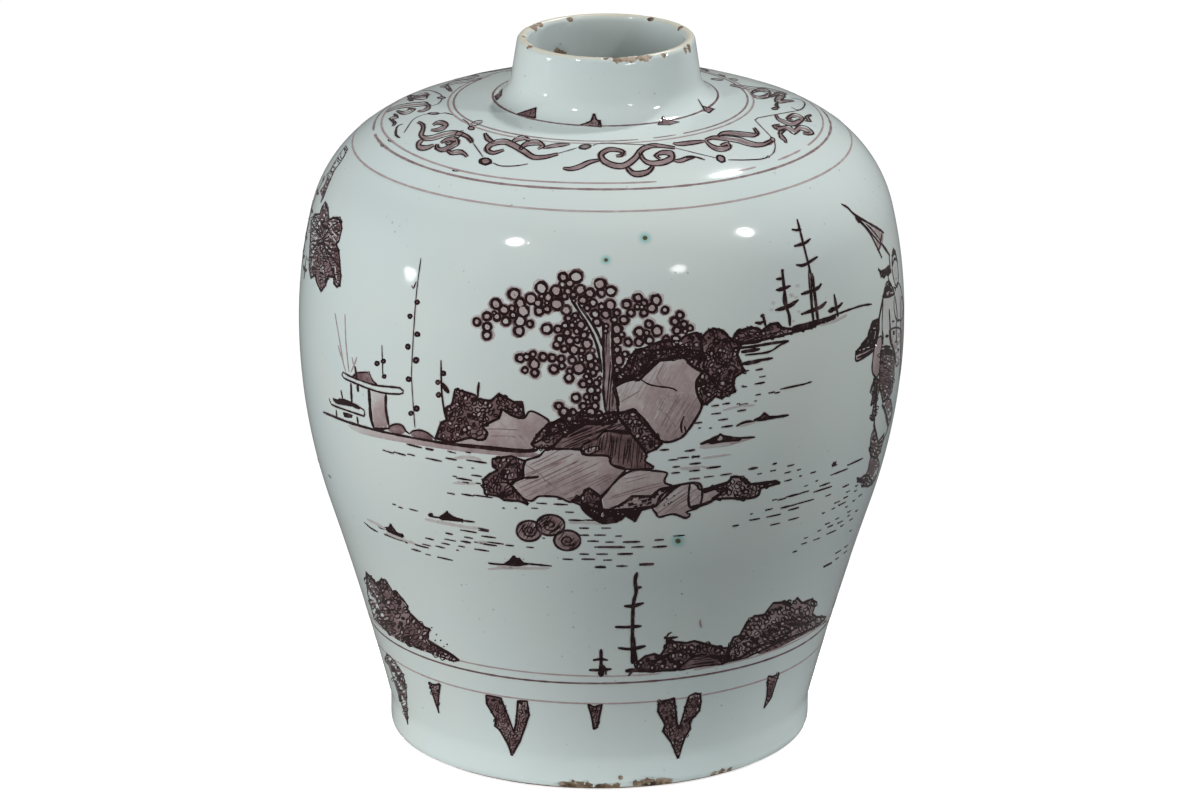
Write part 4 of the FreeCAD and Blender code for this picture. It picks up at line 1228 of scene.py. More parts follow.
# Water: left end and length of each short dash
waterDashes = [
    (407, 444, 15), (426, 448, 8), (448, 451, 4), (466, 452, 5), (383, 450, 3), (386, 451, 8),
    (394, 452, 12), (408, 454, 7), (426, 458, 16), (446, 458, 11), (467, 460, 20), (458, 467, 5),
    (472, 468, 2), (453, 476, 4), (457, 478, 15), (472, 475, 10), (463, 482, 11), (476, 483, 5),
    (448, 493, 7), (462, 494, 12), (474, 495, 19), (393, 504, 3), (399, 507, 4), (410, 509, 8),
    (503, 508, 2), (515, 508, 2), (461, 530, 16), (446, 533, 7), (482, 536, 14), (445, 539, 11),
    (465, 537, 8), (426, 538, 8), (442, 543, 8), (461, 541, 10), (423, 544, 8), (436, 546, 9),
    (459, 546, 6), (475, 542, 12), (488, 542, 16), (484, 544, 13), (506, 545, 8), (412, 549, 9),
    (426, 554, 5), (457, 550, 2), (475, 549, 14), (438, 557, 15), (479, 530, 10), (537, 503, 10),
    (532, 508, 6), (554, 504, 14), (558, 499, 6), (566, 512, 8), (569, 520, 15), (584, 520, 16),
    (580, 528, 9), (602, 528, 9), (581, 535, 8), (595, 535, 11), (616, 536, 6), (588, 541, 11),
    (606, 542, 8), (623, 542, 17), (655, 540, 9), (674, 536, 11), (595, 547, 30), (632, 547, 12),
    (653, 547, 14), (580, 554, 9), (597, 554, 11), (618, 554, 15), (563, 559, 10), (582, 559, 13),
    (604, 560, 8), (595, 567, 11), (617, 566, 11), (640, 565, 14), (527, 547, 7), (660, 450, 9),
    (685, 451, 10), (669, 460, 9), (678, 458, 11), (692, 457, 8), (673, 467, 7), (690, 464, 10),
    (672, 473, 8), (690, 471, 10), (690, 479, 10), (543, 538, 2), (756, 370, 7), (745, 371, 4),
    (760, 377, 6), (755, 384, 10), (742, 386, 2), (743, 387, 4), (756, 395, 5), (755, 401, 2),
    (769, 393, 6), (775, 393, 5), (781, 389, 26), (807, 383, 5), (712, 406, 7), (723, 404, 7),
    (737, 404, 3), (740, 405, 8), (712, 414, 9), (738, 411, 8), (719, 420, 9), (695, 423, 7), (699, 428, 2),
    (710, 428, 2), (722, 427, 11), (690, 450, 5), (692, 457, 7), (690, 464, 11), (707, 468, 14),
    (690, 471, 10), (690, 479, 10), (705, 477, 9), (721, 475, 11), (749, 469, 9), (773, 464, 4),
    (788, 466, 6), (798, 470, 3), (771, 471, 5), (758, 474, 4), (785, 473, 6), (811, 473, 5), (800, 476, 2),
    (785, 481, 7), (816, 481, 2), (833, 466, 4), (831, 475, 17), (848, 465, 15), (805, 486, 3),
    (786, 497, 15), (801, 493, 8), (773, 500, 4), (778, 500, 8), (781, 508, 15), (796, 504, 18),
    (820, 486, 10), (814, 492, 18), (826, 496, 5), (843, 487, 6), (847, 492, 3), (844, 498, 4),
    (835, 503, 5), (839, 505, 7), (832, 509, 3), (823, 513, 2), (846, 507, 2), (853, 501, 2), (848, 512, 3),
    (848, 516, 2), (836, 519, 3), (838, 523, 5), (841, 526, 3), (826, 524, 4), (828, 527, 5), (827, 534, 9),
    (818, 531, 3), (814, 540, 6), (805, 538, 3), (802, 544, 5), (793, 552, 4), (766, 510, 7),
    (789, 510, 10), (767, 517, 14), (750, 520, 2), (751, 520, 9), (751, 514, 2), (789, 520, 10),
    (771, 525, 9), (733, 526, 6), (836, 553, 5), (836, 559, 3), (824, 566, 8), (845, 547, 3), (850, 520, 3),
    (856, 511, 2), (850, 531, 2), (844, 553, 3), (856, 486, 2), (859, 496, 3), (855, 491, 2), (858, 480, 3),
    (407, 444, 12), (426, 449, 7), (450, 452, 6), (450, 459, 6), (595, 567, 11), (617, 566, 10),
    (640, 564, 14), (824, 567, 8),
]
rippleStrokes = [
    ("line", "pink", [[453, 483, 464, 483, 475, 484], [454, 458, 466, 457, 475, 458, 481, 460], [475, 542,
      487, 542], [569, 522, 600, 523, 614, 522], [680, 468, 690, 468, 700, 467]]),
    ("line", "slimPink", [[723, 410, 740, 406, 755, 405], [736.4, 425.9, 744.7, 423.7], [702, 458, 717, 456,
      731, 454], [700.8, 466, 708.2, 467.3]]),
]
# Tree: middle and reach of each round leaf
treeBubbles = [
    (563, 277, 4.6), (576, 277, 6.6), (541, 288, 6.3), (556, 291, 5.8), (514, 294, 5.8), (531, 299, 5.8),
    (520, 303, 5.3), (496, 304, 5.3), (504, 310, 5), (487, 316, 4.5), (477, 322, 4.1), (487, 327, 4.6),
    (487, 335, 4.6), (497, 317, 4.1), (506, 321, 4.6), (513, 315, 3.6), (523, 311, 6.3), (520, 321, 5.8),
    (519, 331, 5.3), (530, 324, 3.6), (538, 303, 4.6), (548, 297, 4.6), (539, 311, 4.6), (547, 309, 4),
    (557, 304, 6.3), (568, 291, 4), (570, 283, 4.6), (580, 290, 5.5), (590, 293, 5), (600, 284, 5.8),
    (601, 293, 4.3), (611, 291, 5.3), (583, 300, 4.6), (593, 303, 4.3), (587, 308, 3.6), (610, 305, 5.5),
    (566, 310, 5.3), (568, 318, 3.6), (595, 314, 4.6), (606, 314, 5), (572, 325, 3.3), (581, 325, 4.6),
    (597, 322, 4.6), (547, 329, 5.5), (558, 329, 4.1), (567, 333, 4.1), (577, 331, 3.6), (584, 335, 4.1),
    (560, 339, 4.1), (570, 341, 4.5), (557, 345, 4.1), (587, 344, 5.3), (577, 340, 3.3), (564, 349, 3.6),
    (574, 350, 5.3), (520, 358, 4.3), (527, 357, 3.6), (533, 354, 3), (543, 357, 4.3), (552, 358, 4),
    (534, 364, 5.5), (561, 359, 3.6), (525, 370, 3.3), (535, 373, 4), (554, 369, 4.6), (562, 366, 3.3),
    (581, 356, 2.3), (572, 360, 4.1), (590, 357, 5), (579, 368, 6.3), (591, 365, 4), (570, 371, 3.3),
    (569, 378, 4.6), (593, 373, 3.6), (583, 384, 4.1), (591, 390, 4.3), (597, 383, 3.6), (576, 398, 4.6),
    (587, 397, 3.3), (596, 398, 3.6), (559, 406, 4), (564, 412, 4.6), (573, 412, 3.3), (583, 406, 3.6),
    (591, 412, 5), (595, 406, 4.1), (569, 419, 3.6), (617, 340, 5), (628, 342, 4.1), (639, 342, 4.6),
    (649, 340, 4.6), (617, 350, 4.1), (625, 354, 3), (619, 360, 5.3), (617, 370, 3.3), (622, 371, 2.3),
    (617, 329, 5.5), (614, 320, 3.6), (624, 320, 4.6), (627, 304, 4.6), (638, 298, 4.6), (637, 307, 3),
    (644, 303, 3.3), (656, 300, 5.5), (652, 308, 5), (665, 310, 3.6), (644, 313, 4), (631, 313, 4.1),
    (649, 324, 4.1), (639, 332, 5), (657, 331, 5.5), (675, 321, 4.3), (680, 315, 4), (684, 324, 3.6),
    (677, 330, 4.3), (685, 331, 2.5), (690, 328, 3), (676, 340, 5.3), (666, 339, 3.3),
]
trunkStrokes = [
    ("line", "firm", [[603.3, 321.3, 603.3, 349.5, 604.2, 372.7, 603.3, 389.3, 605.8, 412.5], [612.5, 321.3,
      612.5, 346.1, 613.3, 364.4, 614.1, 381, 619.1, 405.8], [569.4, 296.4, 581, 314.6, 590.1, 329.6,
      597.5, 347.8, 601.7, 372.7], [577.6, 303, 589.3, 319.6, 597.5, 332.9, 603.3, 347.8]]),
    ("wash", {"tone": "soft", "hatch": (85, 1.8, "dark")}, [[604.2, 319.6, 611.6, 319.6, 612.1, 346.1,
      613, 364.4, 613.8, 381, 618.3, 405.8, 606.7, 412.5, 604.2, 389.3, 604.7, 372.7, 603.8, 349.5]]),
]


def inColumn(strokes, left, right):
    # the paths that lie between two upright lines of the photograph
    found = []
    for kind, settings, paths in strokes:
        last = 1 if kind in dabs else None
        kept = [path for path in paths if all(left < x < right for x in path[:last:2])]
        found.append((kind, settings, kept))
    return found


front = Canvas()
motifs = {
    "scrolls": scrollsStrokes, "stems": stemsStrokes, "teeth": teethStrokes, "altar": altarStrokes,
    "vines": vinesStrokes, "thicket": thicketStrokes, "big_rock": bigRockStrokes,
    "low_rocks": lowRocksStrokes, "shore": shoreStrokes, "pines": pinesStrokes, "stones": stonesStrokes,
    "spit": spitStrokes, "islets": isletsStrokes + rippleStrokes, "low_hills": lowHillsStrokes,
    "poles": polesStrokes, "figures": figuresStrokes, "leaf_plant": leafStrokes,
    "lappets": lappetsStrokes,
}
for name, strokes in motifs.items():
    drawMotif("painted_" + name, strokes, front)
print("front painted:", len(motifs), "motifs")


# Leaves that close the gaps between the round ones of the tree, in pixels
gapLeaf = {
    "seed": 8, "tries": 900, "sizes": (2.4, 1.5, 0.8), "swell": 0.7, "most": 3.6,
    "ring": 5.5, "neighbours": 4, "rockLeft": 617, "rockTop": 388,
}
trunkClear = {"wash": 4.2, "line": 1.2}  # pixels that leaves keep off its points


def gapLeaves(bubbles, trunk):
    # a leaf goes where round ones stand on all sides, the largest gaps first
    picker = random.Random(gapLeaf["seed"])
    low = [min(bubble[axis] for bubble in bubbles) for axis in (0, 1)]
    high = [max(bubble[axis] for bubble in bubbles) for axis in (0, 1)]
    found = list(bubbles)
    for size in gapLeaf["sizes"]:
        for attempt in range(gapLeaf["tries"]):
            x, y = picker.uniform(low[0], high[0]), picker.uniform(low[1], high[1])
            if x > gapLeaf["rockLeft"] and y > gapLeaf["rockTop"]:
                continue
            gaps = sorted(math.hypot(x - other[0], y - other[1]) - other[2] for other in found + trunk)
            if gaps[0] > size and gaps[gapLeaf["neighbours"] - 1] < gapLeaf["ring"]:
                found.append((x, y, min(gaps[0] + gapLeaf["swell"], gapLeaf["most"])))
    return found


trunkSpots = []
for kind, settings, paths in trunkStrokes:
    for path in paths:
        trunkSpots += [(point.x, point.y, trunkClear[kind]) for point in curved(paired(path), 4)]
treeLeaves = gapLeaves(treeBubbles, trunkSpots)


def drawTree(name, canvas):
    sheet = Sheet(name)
    for x, y, reach in treeLeaves:
        layFan(canvas, sheet, (x, y), reach + treeWash["halo"], "light", "halo", 10, 0.95, 0, 0.12)
        layFan(canvas, sheet, (x, y), reach + treeWash["wash"], "mid", "wash", 10, 0.95, 0, 0.15)
    drawStrokes(canvas, sheet, trunkStrokes)
    for x, y, reach in treeLeaves:
        drawBubble(canvas, sheet, x, y, reach)
    sheet.lay()


def levelDash(x, y, length):
    # the ends of a dash that keeps level round the pot
    along = Vector((0, 0, 1)).cross(front.spot(x, y)[1])
    right, up, back = camera.matrix_world.to_3x3().col
    return [x, y, x + length, y - length * along.dot(up) / along.dot(right)]


waterPaths = [levelDash(*dash) for dash in waterDashes]


def drawWater(name, canvas, paths=waterPaths):
    sheet = Sheet(name)
    drawStrokes(canvas, sheet, [("dash", None, paths)])
    sheet.lay()


drawTree("painted_tree", front)
drawWater("painted_water", front)

# The far side, unseen in the photograph: the same hand with its motifs turned, mirrored and set apart
farSide = Canvas(186, True)
for name in "altar vines thicket big_rock low_rocks shore pines stones spit islets".split():
    drawMotif("far_" + name, motifs[name], farSide)
drawTree("far_tree", farSide)
drawWater("far_water", farSide)
drawMotif("far_low_hills", lowHillsStrokes, Canvas(150))
drawMotif("far_poles", polesStrokes, Canvas(236))
drawMotif("far_scrolls", inColumn(scrollsStrokes, 470, 740), Canvas(180))
drawMotif("far_stems", inColumn(stemsStrokes, 470, 740), Canvas(180))
drawMotif("far_teeth", inColumn(teethStrokes, 500, 700), Canvas(180))

# A second robed figure round the right side, and a spit of land on the left side
companionStrokes = [
    ("wash", {"tone": "robe", "edge": 0.6}, [[592, 300, 578, 310, 570, 340, 566, 380, 562, 430, 560, 470,
      600, 476, 640, 470, 636, 430, 632, 380, 628, 340, 622, 310, 608, 300]]),
    ("patchy", {"tone": "mid", "edge": 0.6}, [[572, 388, 600, 394, 628, 388, 634, 430, 628, 452, 600, 458,
      572, 450, 566, 425]]),
    ("wash", {"tone": "pale", "edge": 0.6}, [[574, 314, 556, 340, 546, 372, 550, 396, 564, 392, 568, 366,
      580, 342], [625, 314, 642, 332, 656, 350, 660, 368, 646, 372, 634, 356, 622, 342]]),
    ("line", "heavy", [[574, 380, 600, 387, 628, 380]]),
    ("line", "plain", [[600, 302, 594, 330, 596, 378], [662, 252, 672, 240, 676, 226, 668, 218, 658, 226]]),
    ("line", "fine", [[582, 322, 578, 350, 580, 376], [614, 318, 618, 348, 616, 376]]),
    ("wash", {"tone": "robe", "edge": 0.55}, [[592, 296, 588, 284, 592, 273, 600, 270, 608, 273, 612, 284,
      608, 296]]),
    ("scribble", "ink", [[588, 280, 590, 270, 596, 262, 600, 252, 606, 262, 612, 270, 612, 281, 600, 275]]),
    ("line", "hair", [[594, 284, 597, 283], [603, 283, 606, 284], [598, 291, 602, 291]]),
    ("line", "firm", [[662, 250, 660, 320, 658, 380, 652, 468]]),
    ("line", "bold", [[580, 474, 572, 482, 588, 483], [618, 474, 612, 483, 628, 482]]),
]
bearerStrokes = [
    ("wash", {"tone": "robe", "edge": 0.55}, [[590, 362, 604, 356, 616, 360, 628, 372, 636, 390, 620, 398,
      604, 394, 592, 390, 584, 376]]),
    ("wash", {"tone": "pale", "edge": 0.6}, [[620, 376, 640, 388, 650, 420, 648, 452, 632, 462, 620, 436,
      614, 404]]),
    ("wash", {"tone": "robe", "edge": 0.6}, [[594, 352, 590, 340, 594, 328, 604, 325, 614, 329, 617, 341,
      612, 354, 602, 359]]),
    ("scribble", "ink", [[593, 334, 597, 325, 606, 320, 615, 325, 619, 338, 612, 332, 603, 330]]),
    ("line", "hair", [[596, 340, 599, 339], [604, 339, 607, 340], [599, 350, 604, 350]]),
]
drawMotif("side_figure", companionStrokes, Canvas(104))
drawMotif("flag_bearer", bearerStrokes, Canvas(76))
drawMotif("side_stones", stonesStrokes, Canvas(100, False, (10, 60)))
drawMotif("side_pines", pinesStrokes, Canvas(228))
drawMotif("side_spit", spitStrokes, Canvas(234))
lowWater = [path for path in waterPaths if 560 < path[0] < 740 and path[1] > 490]
drawWater("side_water", Canvas(262), lowWater)

# Lappets at the foot: which drawn one, and how far round it is set
farLappets = {"large": {"drawn": 0, "offset": 0}, "small": {"drawn": 4, "offset": 1}}
lappetTurns = (109, 160, 211, 261)
kind, settings, paths = lappetsStrokes[0]
lappetSheet = Sheet("far_lappets")
for row in farLappets.values():
    for turn in lappetTurns:
        drawStroke(Canvas(turn + row["offset"]), lappetSheet, kind, settings, paths[row["drawn"]])
lappetSheet.lay()
print("far side painted")

# Rings laid on the wheel: level or reach from the axis in mm; how much of the ring has worn off
rings = {
    "foot_low": {"level": 34.7, "width": 0.65, "ink": "pale", "lost": 0.0, "off": 0.0},
    "foot_high": {"level": 42.8, "width": 0.75, "ink": "mid", "lost": 0.0, "off": 0.0},
    "hill_line": {"level": 45.8, "width": 0.6, "ink": "pale", "lost": 0.25, "off": 0.0},
    "brow": {"level": 212.1, "width": 0.7, "ink": "pale", "lost": 0.0, "off": -0.8},
    "band_low": {"level": 217.2, "width": 0.9, "ink": "soft", "lost": 0.06, "off": -0.9},
    "band_high": {"level": 218.5, "width": 0.75, "ink": "faint", "lost": 0.12, "off": -0.9},
    "band_inner": {"reach": 52.6, "width": 0.75, "ink": "faint", "lost": 0.0, "off": -1.9},
    "band_top": {"reach": 50.6, "width": 0.7, "ink": "soft", "lost": 0.06, "off": -1.9},
    "neck_root": {"reach": 38.6, "width": 0.75, "ink": "mid", "lost": 0.0, "off": -0.3},
}


ringStart = {"reach": 130, "level": 245}  # clear of the pot, in mm


def ringSpot(angle, ring, sway):
    # cast inwards at a level, or down at a reach
    way = Vector((math.cos(angle), math.sin(angle), 0))
    if "level" in ring:
        start = way * ringStart["reach"] + Vector((ring["off"], 0, ring["level"] + sway))
        look = -way
    else:
        start = way * (ring["reach"] + sway) + Vector((ring["off"], 0, ringStart["level"]))
        look = Vector((0, 0, -1))
    place, normal = outerGlaze.ray_cast(settled(start) * mm, look)[1:3]
    return place / mm, normal


def drawRing(sheet, ring, seed):
    run = []
    steps = 300
    for step in range(steps + 1):
        angle = math.tau * step / steps
        sway = noise.noise(Vector((math.cos(angle) * 1.3, math.sin(angle) * 1.3, seed))) * 0.35
        spot = ringSpot(angle, ring, sway)
        worn = noise.noise(Vector((math.cos(angle) * 5, math.sin(angle) * 5, seed + 9))) * 0.9 + 0.5
        if ring["lost"] and worn < ring["lost"]:
            if len(run) > 2:
                layStrip(sheet, run, ring["width"], brush["line"], inks[ring["ink"]])
            run = []
        else:
            run.append(spot)
    if len(run) > 2:
        layStrip(sheet, run, ring["width"], brush["line"], inks[ring["ink"]], 1.0)


ringSheet = Sheet("painted_rings")
for seed, ring in enumerate(rings.values()):
    drawRing(ringSheet, ring, seed * 3.0)
ringSheet.lay()
print("rings painted")

# Green stains in the glaze, from grit that melted in the kiln: middle and reach in pixels
stains = {"beside_tree": (606, 260, 7.5), "above_tree": (645, 238, 9.0), "on_water": (678, 541, 10.0)}
stainRings = {"count": 6, "sides": 18}


def layStain(sheet, x, y, reach):
    # round patch that fades from its middle outwards
    middle = front.spot(x, y)
    spots, shades = [middle], [1.0]
    for ring in range(1, stainRings["count"] + 1):
        share = ring / stainRings["count"]
        for step in range(stainRings["sides"]):
            angle = math.tau * step / stainRings["sides"]
            across, up = math.cos(angle) * reach * share, math.sin(angle) * reach * share * 0.9
            spots.append(front.spot(x + across, y + up))
            shades.append((1 - share) ** 1.5)
    sides = stainRings["sides"]
    faces = []
    for step in range(sides):
        faces.append([0, 1 + (step + 1) % sides, 1 + step])
        for ring in range(stainRings["count"] - 1):
            near, far = 1 + ring * sides + step, 1 + ring * sides + (step + 1) % sides
            faces.append([near, far, far + sides, near + sides])
    count = len(spots)
    rim = count - sides
    faces += [[count + index for index in reversed(face)] for face in faces]
    for step in range(sides):
        near, far = rim + step, rim + (step + 1) % sides
        faces.append([near, far, far + count, near + count])
    corners = [place + normal * brush["wash"] for place, normal in spots]
    corners += [place - normal * brush["sunk"] for place, normal in spots]
    sheet.put(corners, faces, shades + shades)


stainSheet = Sheet("glaze_stains")
for x, y, reach in stains.values():
    layStain(stainSheet, x, y, reach)
glazeStains = stainSheet.lay("tin_glaze")
print("stains laid:", len(stains))

# Finishes, all on Object coordinates
glazeLook = {
    "Coat": (0.605, 0.672, 0.650), "Cool": (0.565, 0.655, 0.648), "Thin": (0.62, 0.66, 0.62),
    "Pinhole": (0.24, 0.25, 0.22),
}
glazeRoughness = (0.056, 0.091)
clayLook = {"Clay": (0.21, 0.145, 0.09), "Bloom": (0.43, 0.35, 0.27), "Stain": (0.06, 0.035, 0.02)}
rimCream = (0.60, 0.57, 0.46)
paintLook = {"dark": (0.018, 0.006, 0.007), "mid": (0.155, 0.095, 0.10), "pale": (0.39, 0.317, 0.317)}
stainLook = {"bloom": (0.24, 0.50, 0.47), "grain": (0.10, 0.075, 0.04)}
floorLook = {"dim": (0.06, 0.06, 0.06), "bright": (0.9, 0.9, 0.9)}


class Nodes:
    # shorthand for laying nodes and wires in one tree
    def __init__(self, tree):
        self.tree = tree

    def add(self, kind, **values):
        node = self.tree.nodes.new(kind)
        for name, value in values.items():
            setattr(node, name, value)
        return node

    def feed(self, node, **values):
        # wire an output to an input, or write a plain value there
        for label, value in values.items():
            self.put(node.inputs[label], value)

    def put(self, socket, value):
        if isinstance(value, bpy.types.NodeSocket):
            self.tree.links.new(value, socket)
        else:
            socket.default_value = (*value, 1) if isinstance(value, tuple) else value

    def place(self):
        return self.add("ShaderNodeTexCoord").outputs["Object"]

    def noise(self, scale, detail=3.0, rough=0.5):
        field = self.add("ShaderNodeTexNoise")
        self.feed(field, Vector=self.place(), Scale=scale, Detail=detail, Roughness=rough)
        return field.outputs["Fac"]

    def painted(self, name):
        return self.add("ShaderNodeAttribute", attribute_name=name).outputs["Fac"]

    def ramp(self, source, low, high, first=0.0, last=1.0):
        node = self.add("ShaderNodeMapRange", clamp=True)
        labels = ("Value", "From Min", "From Max", "To Min", "To Max")
        for label, value in zip(labels, (source, low, high, first, last)):
            self.put(node.inputs[label], value)
        return node.outputs["Result"]

    def mix(self, share, first, second):
        node = self.add("ShaderNodeMix", data_type="RGBA")
        for index, value in ((0, share), (6, first), (7, second)):
            self.put(node.inputs[index], value)
        return node.outputs[2]

    def maths(self, operation, first, second):
        node = self.add("ShaderNodeMath", operation=operation)
        self.put(node.inputs[0], first)
        self.put(node.inputs[1], second)
        return node.outputs[0]

    def plus(self, first, second):
        return self.maths("ADD", first, second)

    def times(self, first, second):
        return self.maths("MULTIPLY", first, second)


def newGroup(name, look, **outputs):
    # a group with a colour input for each entry of the look
    tree = bpy.data.node_groups.new(name, "ShaderNodeTree")
    for label in look:
        tree.interface.new_socket(name=label, in_out="INPUT", socket_type="NodeSocketColor")
    for label, kind in outputs.items():
        tree.interface.new_socket(name=label, in_out="OUTPUT", socket_type="NodeSocket" + kind)
    nodes = Nodes(tree)
    return nodes, nodes.add("NodeGroupInput").outputs, nodes.add("NodeGroupOutput")


def makeGlazeGroup():
    # the pale coat: soft colour drift, fine pinholes and the ripple of the surface
    nodes, look, result = newGroup("glazeSkin", glazeLook, Color="Color", Height="Float", Roughness="Float")
    streak = nodes.noise(31, 2)
    cloudy = nodes.mix(nodes.ramp(nodes.noise(9), 0.38, 0.62), look["Coat"], look["Cool"])
    cloudy = nodes.mix(nodes.ramp(streak, 0.5, 0.78, 0, 0.5), cloudy, look["Thin"])
    cells = nodes.add("ShaderNodeTexVoronoi", feature="F1")
    nodes.feed(cells, Vector=nodes.place(), Scale=260)
    hole = nodes.ramp(cells.outputs["Distance"], 0.075, 0.12, 1, 0)
    hole = nodes.times(hole, nodes.ramp(nodes.noise(70, 1), 0.55, 0.66))
    ripple = nodes.plus(nodes.times(nodes.noise(45, 2), 0.8), nodes.times(nodes.noise(420, 2), 0.06))
    nodes.feed(
        result,
        Color=nodes.mix(nodes.times(hole, 0.6), cloudy, look["Pinhole"]),
        Height=nodes.maths("SUBTRACT", ripple, nodes.times(hole, 0.25)),
        Roughness=nodes.ramp(streak, 0.3, 0.7, *glazeRoughness),
    )
    return nodes.tree


def makeClayGroup():
    # bare fired clay: grit, stains and a cream bloom
    nodes, look, result = newGroup("bareClay", clayLook, Color="Color", Height="Float")
    stain = nodes.noise(150, 5, 0.6)
    base = nodes.mix(nodes.ramp(nodes.noise(420), 0.45, 0.65), look["Clay"], look["Bloom"])
    base = nodes.mix(nodes.ramp(stain, 0.5, 0.68), base, look["Stain"])
    nodes.feed(result, Color=base, Height=nodes.plus(nodes.noise(1500), nodes.times(stain, 2)))
    return nodes.tree


glazeGroup = makeGlazeGroup()
clayGroup = makeClayGroup()


def addGroup(nodes, group, look):
    node = nodes.add("ShaderNodeGroup", node_tree=group)
    nodes.feed(node, **look)
    return node.outputs


def newMaterial(name):
    material = bpy.data.materials.new(name)
    material.use_nodes = True
    material.node_tree.nodes.clear()
    nodes = Nodes(material.node_tree)
    shader = nodes.add("ShaderNodeBsdfPrincipled")
    nodes.feed(nodes.add("ShaderNodeOutputMaterial"), Surface=shader.outputs[0])
    return material, nodes, shader


def addBump(nodes, shader, height, strength, distance):
    bump = nodes.add("ShaderNodeBump")
    nodes.feed(bump, Strength=strength, Distance=distance * mm, Height=height)
    nodes.feed(shader, Normal=bump.outputs["Normal"])


def glazeMaterial():
    # glaze, worn through to clay where the attribute "bare" says and along the crown of the rim
    material, nodes, shader = newMaterial("tinGlaze")
    skin = addGroup(nodes, glazeGroup, glazeLook)
    clay = addGroup(nodes, clayGroup, clayLook)
    ragged = nodes.times(nodes.maths("SUBTRACT", nodes.noise(700, 4, 0.6), 0.5), 0.7)
    worn = nodes.ramp(nodes.plus(nodes.painted("bare"), ragged), 0.30, 0.36)
    axes = nodes.add("ShaderNodeSeparateXYZ")
    nodes.feed(axes, Vector=nodes.place())
    crown = nodes.ramp(axes.outputs["Z"], (potShape["rim"] - 1.5) * mm, (potShape["rim"] - 0.1) * mm)
    rubbed = nodes.ramp(nodes.plus(crown, nodes.times(nodes.noise(230, 4, 0.6), 1.1)), 1.12, 1.38)
    cream = nodes.mix(nodes.times(rubbed, 0.85), skin["Color"], rimCream)
    dull = nodes.times(nodes.maths("MAXIMUM", worn, nodes.times(rubbed, 0.5)), 0.6)
    grit = nodes.times(worn, nodes.maths("SUBTRACT", clay["Height"], 1.6))
    nodes.put(shader.inputs["Base Color"], nodes.mix(worn, cream, clay["Color"]))
    nodes.feed(shader, Roughness=nodes.plus(skin["Roughness"], dull), IOR=1.5)
    addBump(nodes, shader, nodes.plus(skin["Height"], grit), 0.35, 0.25)
    return material


def clayMaterial(name):
    material, nodes, shader = newMaterial(name)
    clay = addGroup(nodes, clayGroup, clayLook)
    nodes.put(shader.inputs["Base Color"], clay["Color"])
    nodes.feed(shader, Roughness=0.85)
    addBump(nodes, shader, clay["Height"], 0.5, 0.15)
    return material


def inGlazeMaterial(name, colour):
    # the glaze again, coloured by what lies in it where the attribute "ink" says
    material, nodes, shader = newMaterial(name)
    skin = addGroup(nodes, glazeGroup, glazeLook)
    nodes.put(shader.inputs["Base Color"], colour(nodes, nodes.painted("ink"), skin["Color"]))
    nodes.feed(shader, Roughness=skin["Roughness"], IOR=1.5)
    addBump(nodes, shader, skin["Height"], 0.35, 0.25)
    return material


def paintColour(nodes, ink, base):
    # manganese, paler where the brush was nearly dry
    uneven = nodes.plus(nodes.times(nodes.noise(800), 0.6), 0.7)
    shade = nodes.times(ink, uneven)
    colour = nodes.mix(nodes.ramp(shade, 0, inks["pale"]), base, paintLook["pale"])
    colour = nodes.mix(nodes.ramp(shade, inks["pale"], inks["mid"]), colour, paintLook["mid"])
    return nodes.mix(nodes.ramp(shade, inks["mid"], 0.85), colour, paintLook["dark"])


def stainColour(nodes, ink, base):
    # blue-green bloom round a dark grain
    bloom = nodes.mix(nodes.ramp(ink, 0.0, 0.45, 0, 0.8), base, stainLook["bloom"])
    return nodes.mix(nodes.ramp(ink, 0.55, 0.68), bloom, stainLook["grain"])


finishes = {
    "tin_glaze": glazeMaterial(), "biscuit": clayMaterial("bareClay"), "slip": clayMaterial("slipClay"),
    "purple_paint": inGlazeMaterial("purplePaint", paintColour),
}


def giveFinish(piece, material):
    piece.data.materials.clear()
    piece.data.materials.append(material)


for name, slot in pieceSlots.items():
    giveFinish(bpy.data.objects[name], finishes[slot])
giveFinish(glazeStains, inGlazeMaterial("stainedGlaze", stainColour))
giveFinish(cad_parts["base_glaze"], finishes["tin_glaze"])
print("finishes given:", len(pieceSlots), "pieces")

# Lamps: direction round and up from the viewer, in degrees; light that reaches the pot
studio = {"distance": 1500, "centre": (0, 0, 130)}
lamps = {
    "left_low": {"round": -52, "up": 8, "wide": 600, "tall": 600, "level": 0.46, "shown": False},
    "left_high": {"round": -41.8, "up": 45.3, "wide": 100, "tall": 140, "level": 0.235},
    "left_side": {"round": -77, "up": 6, "wide": 150, "tall": 100, "level": 0.02},
    "right_front": {"round": 30, "up": 25, "wide": 130, "tall": 170, "level": 0.03},
    "right_high": {"round": 68.5, "up": 40.3, "wide": 100, "tall": 150, "level": 0.35},
    "back_high": {"round": 147, "up": 55, "wide": 75, "tall": 130, "level": 0.49},
    "left_wash": {"round": -92, "up": 4, "wide": 900, "tall": 900, "level": 0.30, "shown": False},
    "right_wash": {"round": 90, "up": 18, "wide": 900, "tall": 900, "level": 0.225, "shown": False},
    "front_wash": {"round": 0, "up": -2, "wide": 900, "tall": 900, "level": 0.115, "shown": False},
}


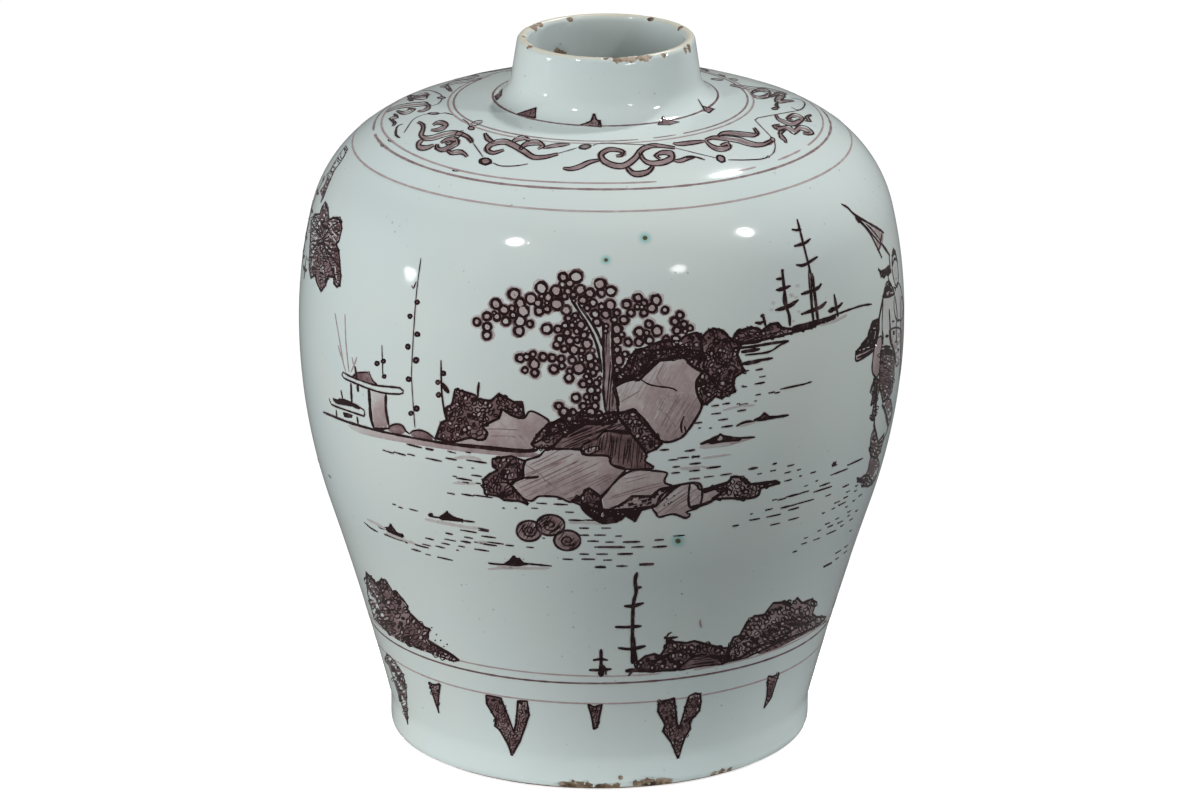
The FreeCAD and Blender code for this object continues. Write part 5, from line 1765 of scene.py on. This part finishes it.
def addLamp(name, lamp):
    data = bpy.data.lights.new(name, "AREA")
    data.shape = "ELLIPSE"
    data.size = lamp["wide"] * mm
    data.size_y = lamp["tall"] * mm
    reach = studio["distance"] * mm
    data.energy = lamp["level"] * (math.pi * reach) ** 2
    obj = placed(name, data)
    around, rise = math.radians(lamp["round"]), math.radians(lamp["up"])
    way = Vector((math.sin(around) * math.cos(rise), -math.cos(around) * math.cos(rise), math.sin(rise)))
    obj.location = Vector(studio["centre"]) * mm + way * reach
    obj.rotation_euler = (-way).to_track_quat("-Z", "Y").to_euler()
    obj.visible_camera = False
    obj.visible_glossy = lamp.get("shown", True)


for name, lamp in lamps.items():
    addLamp(name, lamp)
print("lamps set:", len(lamps))


def makeWorld(dim, glossy):
    world = bpy.data.worlds.new("studio")
    bpy.context.scene.world = world
    world.use_nodes = True
    nodes = Nodes(world.node_tree)
    back = world.node_tree.nodes["Background"]
    path = nodes.add("ShaderNodeLightPath")
    clear = nodes.maths("MAXIMUM", path.outputs["Is Glossy Ray"], path.outputs["Is Transmission Ray"])
    shine = nodes.times(clear, glossy - dim)
    view = nodes.times(path.outputs["Is Camera Ray"], 1 - dim)
    nodes.feed(back, Color=(1, 1, 1), Strength=nodes.plus(nodes.maths("MAXIMUM", shine, view), dim))


makeWorld(0.05, 0.14)


def makeFloor(size, near, far):
    # white to the camera; lights the pot only from near its foot, so the belly keeps its shade
    deselectAll()
    bpy.ops.mesh.primitive_plane_add(size=size * mm)
    floor = bpy.context.object
    floor.name = "floor"
    material, nodes, shader = newMaterial("paleFloor")
    reach = nodes.add("ShaderNodeVectorMath", operation="LENGTH")
    nodes.put(reach.inputs[0], nodes.place())
    bright = nodes.ramp(reach.outputs["Value"], near * mm, far * mm, 1, 0)
    path = nodes.add("ShaderNodeLightPath")
    glow = nodes.maths("SUBTRACT", 1.0, nodes.times(bright, 0.25))
    for label, value in {
        "Base Color": nodes.mix(bright, floorLook["dim"], floorLook["bright"]),
        "Roughness": 0.9,
        "Specular IOR Level": 0,
        "Emission Color": (1, 1, 1),
        "Emission Strength": nodes.times(path.outputs["Is Camera Ray"], glow),
    }.items():
        nodes.put(shader.inputs[label], value)
    giveFinish(floor, material)
    floor.visible_glossy = False


makeFloor(9000, 85, 150)

bpy.context.scene.view_settings.view_transform = "Standard"
print("scene ready")
